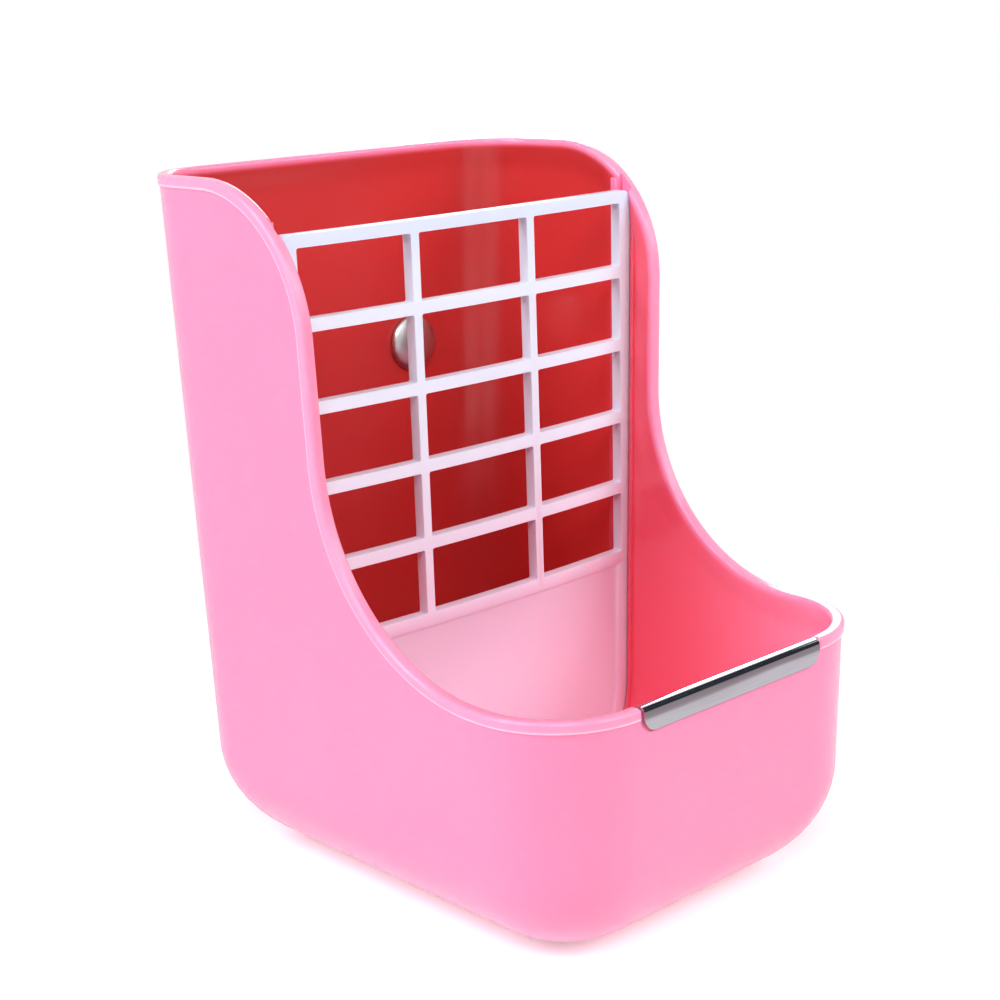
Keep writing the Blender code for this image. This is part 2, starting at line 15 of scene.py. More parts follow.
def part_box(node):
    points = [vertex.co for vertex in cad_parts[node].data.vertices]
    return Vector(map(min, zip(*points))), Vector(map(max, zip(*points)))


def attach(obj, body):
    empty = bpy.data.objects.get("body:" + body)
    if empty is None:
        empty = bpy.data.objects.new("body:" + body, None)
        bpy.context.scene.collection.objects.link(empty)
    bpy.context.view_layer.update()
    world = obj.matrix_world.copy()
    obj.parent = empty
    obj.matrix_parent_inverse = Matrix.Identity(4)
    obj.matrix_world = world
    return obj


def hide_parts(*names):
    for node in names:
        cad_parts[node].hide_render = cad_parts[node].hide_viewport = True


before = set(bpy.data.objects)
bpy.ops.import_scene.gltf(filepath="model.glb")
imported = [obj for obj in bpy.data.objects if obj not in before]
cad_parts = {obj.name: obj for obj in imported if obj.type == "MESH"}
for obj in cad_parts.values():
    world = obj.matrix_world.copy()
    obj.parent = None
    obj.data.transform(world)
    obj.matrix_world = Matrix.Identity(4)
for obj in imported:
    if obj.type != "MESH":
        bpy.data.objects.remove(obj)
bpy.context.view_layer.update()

BODY_LOW, BODY_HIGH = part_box("body_shell")

# Painted shade inside: how the pink is painted deeper red, from the front wall to behind
# the rack (places along Y)
INSIDE_SHADE_COLOURS = ("#ff9cbc", "#ff667c", "#ca3a3a")
INSIDE_SHADE_REACHES = ((-0.085, -0.010), (0.0, 0.014))

# Painted highlight along the thin lower edge of the bead: its paler colour and how much of it is mixed in
BEAD_HIGHLIGHT_COLOUR = "#ffd2e8"
BEAD_HIGHLIGHT_STRENGTH = 0.75

# Painted bounce light on the rack: the white is painted with a pink cast low down, for light off
# the bowl's walls, and passes to a cool white that is a little darker at the very top (heights)
RACK_BOUNCE_COLOURS = ("#f5e1ff", "#e2ecff", "#d8e4fc")
RACK_BOUNCE_REACHES = ((0.020, 0.150), (0.155, 0.172))

# Box
Y_BACK = BODY_HIGH.y
BOX_HEIGHT = BODY_HIGH.z
BASE_WIDTH = 0.1138
BASE_DEPTH = 0.1467
SIDE_DRAFT = math.radians(2.0)
FRONT_DRAFT = math.radians(0.9)
BACK_CORNER_RADIUS = 0.0205
FRONT_CORNER_RADIUS = 0.0255
BOTTOM_RADIUS = 0.0297
FOOT_CORNER_RADIUS = 0.0060
WALL = 0.0015

# Side outline of the rim
TOP_RUN = 0.0322
CREST_RADIUS = 0.0368
SWEEP_RADIUS = 0.0502
BOWL_HEIGHT = 0.0677

# Bead round the rim
BEAD_DEPTH = 0.0031
BEAD_PROUD = 0.0006
BEAD_INWARD = 0.0014
BEAD_INNER_DEPTH = 0.0100
BEAD_EDGE_RADIUS = 0.0010
BEAD_STEP_RADIUS = 0.0006
BEAD_FADE_STEPS = 8
BEAD_LINE = 0.0003
FOOT_SPREAD = 0.002

# How the pink material is told where to paint shade and highlight, in a UV map: the rows of
# the wall under the rim, the share of the lowest one's depth at which the inside is painted red
# shade all through, the floor's share of that painted shade, the edge profile's rows along the
# bead's thin lower edge that carry a painted highlight, and how much of that painted highlight
# the rest of the bead gets beside that edge
UNDER_RIM = "under_rim"
SHADE_DEPTHS = (0.014, 0.019, 0.025)
UNDER_RIM_REACH = 0.12
FLOOR_SHADE = 0.05
BEAD_HIGHLIGHT_ROWS = (4, 5)
BEAD_FACE_HIGHLIGHT = 0.2

# Rack guides on the side walls
REAR_GUIDE_REACH = 0.0024
FRONT_GUIDE_REACH = 0.0010
REAR_GUIDE_WIDTH = 0.0024
FRONT_GUIDE_WIDTH = 0.0012
GUIDE_PLAY = 0.0004
GUIDE_BELOW_RIM = 0.0012
GUIDE_ROOT = 0.0008
GUIDE_EDGE_RADIUS = 0.0004
# Run over which a rib's painted shade fades in below the height where it starts
GUIDE_FADE = 0.008
GUIDE_END_TURN = math.radians(24)
NOTCH_PLAY = 0.0003
NOTCH_BELOW_RACK_TOP = 0.014

# Rack
RACK_FROM_BACK = 0.0594
RACK_THICKNESS = 0.0032
RACK_TOP = 0.1722
RACK_CROWN = 0.0023
RACK_LOW_SIDE_PLAY = 0.0003
RACK_TOP_SIDE_PLAY = 0.0005
RACK_FLOOR_PLAY = 0.0008
RACK_CORNER_RADIUS = 0.0030
RACK_FRONT_ROUNDING = 0.0012
RACK_ROUNDING_DEPTH = 0.0023
RACK_REAR_ROUNDING = 0.0005
BAR_HEIGHT = 0.0034
BAR_PITCH = 0.0206
WINDOW_ROWS = 5
POST_WIDTH = 0.0027
POST_FROM_MIDDLE = 0.0201
OUTER_POST_TOP_WIDTH = 0.0048
OUTER_POST_LOW_WIDTH = 0.0029
PANEL_BORDER = 0.0050
PANEL_RECESS = 0.0008
PANEL_STEP_RUN = 0.0012
PANEL_TOP_REACH = 1.2 * PANEL_BORDER

# Steel guard on the front rim
GUARD_THICKNESS = 0.0005
GUARD_DROP = 0.0062
GUARD_INNER_DROP = 0.0050
GUARD_CORNER_RADIUS = 0.0040
GUARD_BEND_RADIUS = 0.0011
GUARD_PLAY = 0.0003
GUARD_END_PLAY = 0.0004
GUARD_CROWN = 0.0003
GUARD_CROWN_RUN = 0.0036
GUARD_POCKET_MARGIN = 0.0006
GUARD_POCKET_DEPTH = 0.0003
BEAD_END_RUN = 0.0008
BEAD_PAST_CORNER = 0.0004

# Cage fixings
CLAMP_FROM_MIDDLE = 0.028
CLAMP_HEIGHT = 0.128
BOLT_RADIUS = 0.0030
BOLT_REACH = 0.0240
BOLT_HEAD_RADIUS = 0.0080
BOLT_HEAD_HEIGHT = 0.0030
BOLT_HEAD_EDGE = 0.0006
BOLT_END_CHAMFER = 0.0006
BOLT_PLAY = 0.0003
THREAD_STARTS = 3
THREAD_SPACING = 0.0010
THREAD_LEAD = THREAD_STARTS * THREAD_SPACING
THREAD_STEPS = 32
THREAD_DEPTH = 0.0004
THREAD_HALF_ROOT = 0.44 * THREAD_SPACING
THREAD_HALF_CREST = 0.15 * THREAD_HALF_ROOT
SEAT_PLAY = 0.0003
WIRE_SPACE = 0.0032
PLATE_RADIUS = 0.0140
PLATE_THICKNESS = 0.0030
PLATE_EDGE_RADIUS = 0.0008
PLATE_BOSS_RADIUS = 0.0072
PLATE_RIM_WIDTH = 0.0020
PLATE_DISH_DEPTH = 0.0012
PLATE_RIBS = 8
PLATE_RIB_WIDTH = 0.0012
NUT_HUB_RADIUS = 0.0070
NUT_NOSE_RADIUS = 0.0055
NUT_LENGTH = 0.0090
NUT_EDGE_RADIUS = 0.0006
WING_SPAN = 0.0150
WING_TIP = 0.0040
WING_THICKNESS = 0.0030
WING_FOOT = 0.0012
WING_HEIGHT = 0.0125
WING_ROOT = 0.0010
WING_EDGE_RADIUS = 0.0009
WING_CORNER_RADIUS = 0.45 * WING_TIP

OVERRUN = 0.004
MERGE_DISTANCE = 1e-6
SHARP_ANGLE = math.radians(38)
BOX_SHARP_ANGLE = math.radians(32)
CORNER_ANGLE = math.radians(40)
RIM_ANGLE = math.radians(60)

# How finely curves are divided
ROUND_STEPS = 64
ARC_STEPS = 4
CREST_STEPS = 26
DROP_STEPS = 6
SWEEP_STEPS = 30
FOOT_STEPS = 14
FLAT_COLUMNS = 8
BACK_CORNER_COLUMNS = 16
FRONT_CORNER_COLUMNS = 20
BEAD_STEP_STEPS = 3
BEAD_EDGE_STEPS = 6
GUIDE_END_STEPS = 8
GUIDE_EDGE_SEGMENTS = 4
RACK_STRIPS = 48
RACK_FOOT_SEGMENTS = 20
RACK_HEAD_SEGMENTS = 6
RACK_FRONT_SEGMENTS = 5
RACK_REAR_SEGMENTS = 3
GUARD_SEGMENTS = 8
GUARD_POCKET_SEGMENTS = 10
GUARD_CROWN_STEPS = 6
BOLT_HEAD_STEPS = 12
WING_CORNER_SEGMENTS = 6
WING_EDGE_SEGMENTS = 4


# Small helpers
def linear(hex_colour):
    """An sRGB hex colour as the linear values that a shader takes."""
    channels = [int(hex_colour[i:i + 2], 16) / 255 for i in (1, 3, 5)]
    lit = [c / 12.92 if c <= 0.04045 else ((c + 0.055) / 1.055) ** 2.4 for c in channels]
    return (*lit, 1.0)


def shares(steps):
    return [i / steps for i in range(steps + 1)]


def quarter_turns(steps):
    return [share * math.pi / 2 for share in shares(steps)]


def ease(share):
    """0 to 1 with a level start and end."""
    return (1 - math.cos(share * math.pi)) / 2


def box_depth(z):
    return BASE_DEPTH + z * math.tan(FRONT_DRAFT)


def half_width(z):
    return BASE_WIDTH / 2 + z * math.tan(SIDE_DRAFT)


RACK_FRONT = Y_BACK - RACK_FROM_BACK
RACK_REAR = RACK_FRONT + RACK_THICKNESS
RACK_BOTTOM = WALL + RACK_FLOOR_PLAY
LATTICE_TOP = RACK_TOP - BAR_HEIGHT
LATTICE_LOW = RACK_TOP - WINDOW_ROWS * BAR_PITCH
PANEL_TOP = LATTICE_LOW - BAR_HEIGHT
FRONT_HALF_RUN = half_width(BOWL_HEIGHT) - FRONT_CORNER_RADIUS
BEAD_END = FRONT_HALF_RUN - BEAD_PAST_CORNER
GAP_END = BEAD_END - BEAD_END_RUN
GUARD_HALF_LENGTH = GAP_END - GUARD_END_PLAY
NUT_START = WIRE_SPACE + PLATE_THICKNESS + SEAT_PLAY
DROP_FROM_BACK = TOP_RUN + CREST_RADIUS
CREST_START = BOX_HEIGHT - CREST_RADIUS
SWEEP_START = BOWL_HEIGHT + SWEEP_RADIUS
FRONT_FACE = Y_BACK - box_depth(BOWL_HEIGHT)


# Materials
def add(tree, kind, links=None, **settings):
    """Adds a node. links maps an input to an output, and a setting is an attribute of the
    node or, where it has none of that name, the value of an input."""
    node = tree.nodes.new(kind)
    for key, value in settings.items():
        if hasattr(node, key):
            setattr(node, key, value)
        else:
            node.inputs[key.replace("_", " ")].default_value = value
    for key, source in (links or {}).items():
        tree.links.new(source, node.inputs[key])
    return node


def new_material(name, **settings):
    """A material with one Principled shader, its sockets set by name."""
    material = bpy.data.materials.new(name)
    material.use_nodes = True
    tree = material.node_tree
    shader = tree.nodes["Principled BSDF"]
    for key, value in settings.items():
        shader.inputs[key.replace("_", " ")].default_value = value
    return material, tree, shader


def per_metre(millimetres):
    """A pattern's scale on Object coordinates, from the size of one repeat."""
    return 1000 / millimetres


def moulded_polypropylene(name, colour, cloudy, roughness, subsurface, reach, skin):
    """Injection-moulded polypropylene: glossy off the tool, faintly clouded in colour,
    and waxy enough that light which enters the wall comes out deeper in colour."""
    material, tree, shader = new_material(
        name, IOR=1.49, Subsurface_Weight=subsurface, Subsurface_Radius=reach, Subsurface_Scale=skin
    )
    place = add(tree, "ShaderNodeTexCoord").outputs["Object"]
    flow = add(tree, "ShaderNodeTexNoise", {"Vector": place}, Scale=per_metre(45), Detail=2.0)
    tint = add(tree, "ShaderNodeMix", {"Factor": flow.outputs["Fac"]}, data_type="RGBA")
    tint.inputs["A"].default_value = linear(colour)
    tint.inputs["B"].default_value = linear(cloudy)
    tree.links.new(tint.outputs["Result"], shader.inputs["Base Color"])
    sheen = add(tree, "ShaderNodeTexNoise", {"Vector": place}, Scale=per_metre(9), Detail=3.0)
    polish = add(tree, "ShaderNodeMapRange", {"Value": sheen.outputs["Fac"]})
    polish.inputs["To Min"].default_value = roughness[0]
    polish.inputs["To Max"].default_value = roughness[1]
    tree.links.new(polish.outputs["Result"], shader.inputs["Roughness"])
    grain = add(tree, "ShaderNodeTexNoise", {"Vector": place}, Scale=per_metre(0.6), Detail=1.0)
    fine = add(tree, "ShaderNodeBump", {"Height": grain.outputs["Fac"]}, Strength=0.05, Distance=0.00005)
    tree.links.new(fine.outputs["Normal"], shader.inputs["Normal"])
    return material


def blend_along(tree, value, colours, reaches):
    """A colour that passes from each of the colours to the next while value runs through a reach."""
    tone = None
    for (start, end), colour in zip(reaches, colours[1:]):
        way = add(tree, "ShaderNodeMapRange", {"Value": value}, interpolation_type="SMOOTHSTEP")
        way.inputs["From Min"].default_value = start
        way.inputs["From Max"].default_value = end
        mixed = add(tree, "ShaderNodeMix", {"Factor": way.outputs["Result"]}, data_type="RGBA")
        mixed.inputs["A"].default_value = linear(colours[0])
        if tone:
            tree.links.new(tone, mixed.inputs["A"])
        mixed.inputs["B"].default_value = linear(colour)
        tone = mixed.outputs["Result"]
    return tone


def paint_inside_shade(material):
    """Paints shade into the pink: inside the box the colour is painted red towards the rack and
    deepest behind it, standing in for light that has passed through pink walls and gone from
    wall to wall and for the shade deep in the hopper. The painted shade starts under the rim.
    The bead's thin lower edge is painted paler, as a painted highlight."""
    tree = material.node_tree
    shader = tree.nodes["Principled BSDF"]
    place = add(tree, "ShaderNodeTexCoord").outputs["Object"]
    split = add(tree, "ShaderNodeSeparateXYZ", {"Vector": place})
    tone = blend_along(tree, split.outputs["Y"], INSIDE_SHADE_COLOURS, INSIDE_SHADE_REACHES)
    rim = add(tree, "ShaderNodeUVMap", uv_map=UNDER_RIM)
    under = add(tree, "ShaderNodeSeparateXYZ", {"Vector": rim.outputs["UV"]})
    # Painted shade: none on the rim, full a short way under it
    depth = add(tree, "ShaderNodeMapRange", {"Value": under.outputs["X"]}, interpolation_type="SMOOTHSTEP")
    depth.inputs["From Max"].default_value = UNDER_RIM_REACH
    outside = shader.inputs["Base Color"].links[0].from_socket
    final = add(tree, "ShaderNodeMix", {"Factor": depth.outputs["Result"]}, data_type="RGBA")
    tree.links.new(outside, final.inputs["A"])
    tree.links.new(tone, final.inputs["B"])
    # Painted highlight: the bead's thin lower edge is mixed towards a paler pink
    edge = add(tree, "ShaderNodeMath", {0: under.outputs["Y"]}, operation="MULTIPLY")
    edge.inputs[1].default_value = BEAD_HIGHLIGHT_STRENGTH
    links = {"Factor": edge.outputs[0], "A": final.outputs["Result"]}
    lit = add(tree, "ShaderNodeMix", links, data_type="RGBA")
    lit.inputs["B"].default_value = linear(BEAD_HIGHLIGHT_COLOUR)
    tree.links.new(lit.outputs["Result"], shader.inputs["Base Color"])


def paint_rack_bounce_light(material):
    """Paints bounce light: low on the rack the pale plastic is painted pinker, for light
    that comes off the bowl's pink walls.
    """
    tree = material.node_tree
    place = add(tree, "ShaderNodeTexCoord").outputs["Object"]
    height = add(tree, "ShaderNodeSeparateXYZ", {"Vector": place}).outputs["Z"]
    tone = blend_along(tree, height, RACK_BOUNCE_COLOURS, RACK_BOUNCE_REACHES)
    tree.links.new(tone, tree.nodes["Principled BSDF"].inputs["Base Color"])


def polished_stainless():
    """Stainless strip, polished along its length: mirror bright with faint long lines."""
    material, tree, shader = new_material("polished_stainless", Metallic=1.0, Roughness=0.05)
    place = add(tree, "ShaderNodeTexCoord").outputs["Object"]
    along = add(tree, "ShaderNodeMapping", {"Vector": place})
    along.inputs["Scale"].default_value = (0.02, 1.0, 1.0)
    stretched = along.outputs["Vector"]
    lines = add(tree, "ShaderNodeTexNoise", {"Vector": stretched}, Scale=per_metre(0.25), Detail=2.0)
    tone = add(tree, "ShaderNodeMix", {"Factor": lines.outputs["Fac"]}, data_type="RGBA")
    tone.inputs["A"].default_value = linear("#d2d3d8")
    tone.inputs["B"].default_value = linear("#e4e3e6")
    tree.links.new(tone.outputs["Result"], shader.inputs["Base Color"])
    buff = add(tree, "ShaderNodeBump", {"Height": lines.outputs["Fac"]}, Strength=0.06, Distance=0.00003)
    tree.links.new(buff.outputs["Normal"], shader.inputs["Normal"])
    return material


def bright_zinc():
    """Zinc-plated steel: pale, slightly blue, with a soft uneven lustre."""
    material, tree, shader = new_material("bright_zinc", Metallic=1.0)
    place = add(tree, "ShaderNodeTexCoord").outputs["Object"]
    spangle = add(tree, "ShaderNodeTexNoise", {"Vector": place}, Scale=per_metre(1.6), Detail=3.0)
    tone = add(tree, "ShaderNodeMix", {"Factor": spangle.outputs["Fac"]}, data_type="RGBA")
    tone.inputs["A"].default_value = linear("#b9bec6")
    tone.inputs["B"].default_value = linear("#d3d2cc")
    tree.links.new(tone.outputs["Result"], shader.inputs["Base Color"])
    lustre = add(tree, "ShaderNodeMapRange", {"Value": spangle.outputs["Fac"]})
    lustre.inputs["To Min"].default_value = 0.29
    lustre.inputs["To Max"].default_value = 0.40
    tree.links.new(lustre.outputs["Result"], shader.inputs["Roughness"])
    pits = add(tree, "ShaderNodeBump", {"Height": spangle.outputs["Fac"]}, Strength=0.15, Distance=0.00004)
    tree.links.new(pits.outputs["Normal"], shader.inputs["Normal"])
    return material


# Shaping helpers
def bevel(bm, geom, offset, segments, affect="EDGES"):
    return bmesh.ops.bevel(
        bm, geom=geom, offset=offset, offset_type="OFFSET", segments=segments, profile=0.5,
        affect=affect, material=-1, clamp_overlap=True,
    )


def cut(bm, point, normal, clear=False):
    """Cuts the mesh with a plane. clear removes what lies on the side the normal points to."""
    everything = bm.verts[:] + bm.edges[:] + bm.faces[:]
    return bmesh.ops.bisect_plane(
        bm, geom=everything, plane_co=point, plane_no=normal, dist=MERGE_DISTANCE, clear_outer=clear
    )


def chain(bm, points):
    """Edges through a few points, in order."""
    verts = [bm.verts.new(point) for point in points]
    return [bm.edges.new(pair) for pair in zip(verts, verts[1:])]


def outline_face(points):
    """A bmesh that holds one flat face through the points."""
    bm = bmesh.new()
    bm.faces.new([bm.verts.new(point) for point in points])
    return bm


def extrude_faces(bm, vector):
    """Gives the mesh's flat faces a thickness along a vector."""
    made = bmesh.ops.extrude_face_region(bm, geom=bm.faces[:])["geom"]
    moved = [item for item in made if isinstance(item, bmesh.types.BMVert)]
    bmesh.ops.translate(bm, verts=moved, vec=vector)
    return moved


def turned(profile):
    """A ring or solid turned round the Y axis from pairs of radius and y."""
    bm = bmesh.new()
    chain(bm, [(radius, y, 0) for radius, y in profile])
    bmesh.ops.spin(
        bm, geom=bm.verts[:] + bm.edges[:], cent=(0, 0, 0), axis=(0, 1, 0), angle=math.tau,
        steps=ROUND_STEPS, use_merge=True,
    )
    bmesh.ops.remove_doubles(bm, verts=bm.verts, dist=MERGE_DISTANCE)
    return bm


def rounded(points, radius, steps=ARC_STEPS):
    """A profile whose inner points are rounded with short arcs of about that radius."""
    path = [Vector(points[0])]
    for before, corner, after in zip(points, points[1:], points[2:]):
        before, corner, after = Vector(before), Vector(corner), Vector(after)
        reach = min(radius, (before - corner).length / 2, (after - corner).length / 2)
        start = corner + (before - corner).normalized() * reach
        end = corner + (after - corner).normalized() * reach
        for share in shares(steps):
            path.append(start.lerp(corner, share).lerp(corner.lerp(end, share), share))
    return [tuple(point) for point in path + [Vector(points[-1])]]


def to_object(name, bm, material=None, fix_normals=True):
    bmesh.ops.remove_doubles(bm, verts=bm.verts, dist=MERGE_DISTANCE)
    if fix_normals:
        bmesh.ops.recalc_face_normals(bm, faces=bm.faces)
    mesh = bpy.data.meshes.new(name)
    bm.to_mesh(mesh)
    bm.free()
    obj = bpy.data.objects.new(name, mesh)
    bpy.context.scene.collection.objects.link(obj)
    if material:
        mesh.materials.append(material)
    return obj


def combine(obj, tools, operation):
    """Joins the tools to the object or cuts them out of it, and removes them."""
    for tool in tools:
        modifier = obj.modifiers.new(tool.name, "BOOLEAN")
        modifier.solver = "EXACT"
        modifier.operation = operation
        modifier.object = tool
    graph = bpy.context.evaluated_depsgraph_get()
    mesh = bpy.data.meshes.new_from_object(obj.evaluated_get(graph))
    obj.modifiers.clear()
    obj.data = mesh
    for tool in tools:
        bpy.data.objects.remove(tool)


def finish_piece(obj, body, node, angle=SHARP_ANGLE):
    obj.data.shade_smooth()
    obj.data.set_sharp_from_angle(angle=angle)
    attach(obj, body)
    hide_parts(node)


def paint_shade_and_highlight(bm, depth_of, highlight_of=lambda vert: 0):
    """Writes into the UV map that the pink reads how far each vertex lies under the rim, which
    sets its painted red shade, and how much of the bead's painted highlight, along its thin lower
    edge, is there."""
    shade = bm.loops.layers.uv.new(UNDER_RIM)
    for face in bm.faces:
        for loop in face.loops:
            loop[shade].uv = (depth_of(loop.vert), highlight_of(loop.vert))
    return shade


# The box wall, as columns round half of the box. A column is
# (kind, share, z, out, up, from_back, bead): the stretch of wall and the share of
# the way along it, the rim's height, the direction out of the wall's edge, on the
# side wall the rim's distance from the back, and how much of the bead is there.
def outline_point(kind, share, half, front, back, front_radius, back_radius, z):
    """A point of a plan outline with round corners, from x = half to the middle."""
    if kind == "back":
        return Vector((share * (half - back_radius), back, z))
    if kind == "back_corner":
        turn = share * math.pi / 2
        x = half - back_radius + back_radius * math.sin(turn)
        return Vector((x, back - back_radius + back_radius * math.cos(turn), z))
    if kind == "side":
        start = back - back_radius
        return Vector((half, start + share * (front + front_radius - start), z))
    if kind == "front_corner":
        turn = share * math.pi / 2
        x = half - front_radius + front_radius * math.cos(turn)
        return Vector((x, front + front_radius - front_radius * math.sin(turn), z))
    return Vector(((1 - share) * (half - front_radius), front, z))


def edge_point(column, inset, below):
    """A point of the wall near the rim: inset from the outer face, below the edge."""
    kind, share, z, out, up, from_back = column[:6]
    height = z - up * below
    half = half_width(height) - inset
    if kind == "side":
        return Vector((half, Y_BACK - from_back + out * below, height))
    front = Y_BACK - box_depth(height) + inset
    radii = (FRONT_CORNER_RADIUS - inset, BACK_CORNER_RADIUS - inset)
    return outline_point(kind, share, half, front, Y_BACK - inset, *radii, height)


def foot_point(column, inset, turn):
    """A point of the rounded foot. It starts on the wall and ends on the floor."""
    kind, share = column[:2]
    radius = BOTTOM_RADIUS - inset
    moved_in = BOTTOM_RADIUS - radius * math.cos(turn)
    way_in = moved_in / BOTTOM_RADIUS
    front_radius = FRONT_CORNER_RADIUS + way_in * (FOOT_CORNER_RADIUS - FRONT_CORNER_RADIUS)
    back_radius = BACK_CORNER_RADIUS + way_in * (FOOT_CORNER_RADIUS - BACK_CORNER_RADIUS)
    half = half_width(BOTTOM_RADIUS) - moved_in
    front = Y_BACK - box_depth(BOTTOM_RADIUS) + moved_in
    z = BOTTOM_RADIUS - radius * math.sin(turn)
    return outline_point(kind, share, half, front, Y_BACK - moved_in, front_radius, back_radius, z)


def side_path():
    """The rim along the side: (from_back, z, out, up), from the back to the bowl."""
    path = []
    for turn in quarter_turns(CREST_STEPS):
        out, up = math.sin(turn), math.cos(turn)
        path.append((TOP_RUN + CREST_RADIUS * out, CREST_START + CREST_RADIUS * up, out, up))
    for share in shares(DROP_STEPS)[1:-1]:
        path.append((DROP_FROM_BACK, CREST_START + share * (SWEEP_START - CREST_START), 1, 0))
    for turn in quarter_turns(SWEEP_STEPS):
        out, up = math.cos(turn), math.sin(turn)
        from_back = DROP_FROM_BACK + SWEEP_RADIUS * (1 - out)
        path.append((from_back, SWEEP_START - SWEEP_RADIUS * up, out, up))
    return path


def rim_height(from_back):
    """Height of the rim at a distance from the back: level, crest, sweep or bowl."""
    if from_back <= TOP_RUN:
        return BOX_HEIGHT
    if from_back <= DROP_FROM_BACK:
        return CREST_START + math.sqrt(CREST_RADIUS**2 - (from_back - TOP_RUN) ** 2)
    to_bowl = max(DROP_FROM_BACK + SWEEP_RADIUS - from_back, 0)
    return SWEEP_START - math.sqrt(SWEEP_RADIUS**2 - to_bowl**2)


def half_columns():
    """Columns from the middle of the back, round one side, to the middle of the front.

    On the side each column stands on the foot under its own inner edge, and those
    under the straight drop of the rim keep a small distance there.
    """
    top, bowl = (BOX_HEIGHT, 0, 1, 0, 1), (BOWL_HEIGHT, 0, 1, 0, 1)
    columns = [("back", share, *top) for share in shares(FLAT_COLUMNS)[:-1]]
    columns += [("back_corner", share, *top) for share in shares(BACK_CORNER_COLUMNS)[:-1]]
    columns.append(("side", 0, BOX_HEIGHT, 0, 1, BACK_CORNER_RADIUS, 1))
    path = side_path()
    drop = [i for i, (from_back, z, out, up) in enumerate(path) if up < MERGE_DISTANCE]
    foot_run = box_depth(BOTTOM_RADIUS) - BACK_CORNER_RADIUS - FRONT_CORNER_RADIUS
    for i, (from_back, z, out, up) in enumerate(path):
        down_drop = min(max((i - drop[0]) / (drop[-1] - drop[0]), 0), 1)
        spread = FOOT_SPREAD * min(i / drop[0], 1) * (1 - down_drop)
        on_foot = from_back - out * SHADE_DEPTHS[-1] - spread
        columns.append(("side", (on_foot - BACK_CORNER_RADIUS) / foot_run, z, out, up, from_back, 1))
    columns += [("front_corner", share, *bowl) for share in shares(FRONT_CORNER_COLUMNS)]
    for share in shares(FLAT_COLUMNS):
        x = BEAD_END - share * BEAD_END_RUN
        columns.append(("front", 1 - x / FRONT_HALF_RUN, BOWL_HEIGHT, 0, 1, 0, 1 - ease(share)))
    gap_share = GAP_END / FRONT_HALF_RUN
    for share in shares(FLAT_COLUMNS)[1:]:
        columns.append(("front", 1 - gap_share * (1 - share), BOWL_HEIGHT, 0, 1, 0, 0))
    return columns


def edge_profile(column):
    """Pairs of inset and depth below the rim, over the edge from outside to inside."""
    kind, share, bead = column[0], column[1], column[6]
    lowered = (1 - bead) * (GUARD_THICKNESS + GUARD_PLAY)
    proud = bead * BEAD_PROUD * {"back": 0, "back_corner": ease(share)}.get(kind, 1)
    inner = WALL + bead * BEAD_INWARD
    radius = min(BEAD_EDGE_RADIUS, (inner + proud) / 2 - BEAD_STEP_RADIUS / 2)
    step = min(BEAD_STEP_RADIUS, proud)
    profile = [(0, BEAD_DEPTH + BEAD_STEP_RADIUS), (0, BEAD_DEPTH)]
    for turn in quarter_turns(BEAD_STEP_STEPS):
        depth = BEAD_DEPTH - step * (1 - math.cos(turn))
        profile.append((-proud + step * (1 - math.sin(turn)), depth))
    profile.append((-proud, BEAD_DEPTH - step - BEAD_LINE))
    for turn in quarter_turns(BEAD_EDGE_STEPS):
        depth = lowered + radius * (1 - math.sin(turn))
        profile.append((-proud + radius * (1 - math.cos(turn)), depth))
    for turn in reversed(quarter_turns(BEAD_EDGE_STEPS)):
        depth = lowered + radius * (1 - math.sin(turn))
        profile.append((inner - radius * (1 - math.cos(turn)), depth))
    start = lowered + radius
    for share in shares(BEAD_FADE_STEPS)[1:]:
        inset = inner + ease(share) * (WALL - inner)
        profile.append((inset, start + share * (BEAD_INNER_DEPTH - start)))
    return profile + [(WALL, depth) for depth in SHADE_DEPTHS]


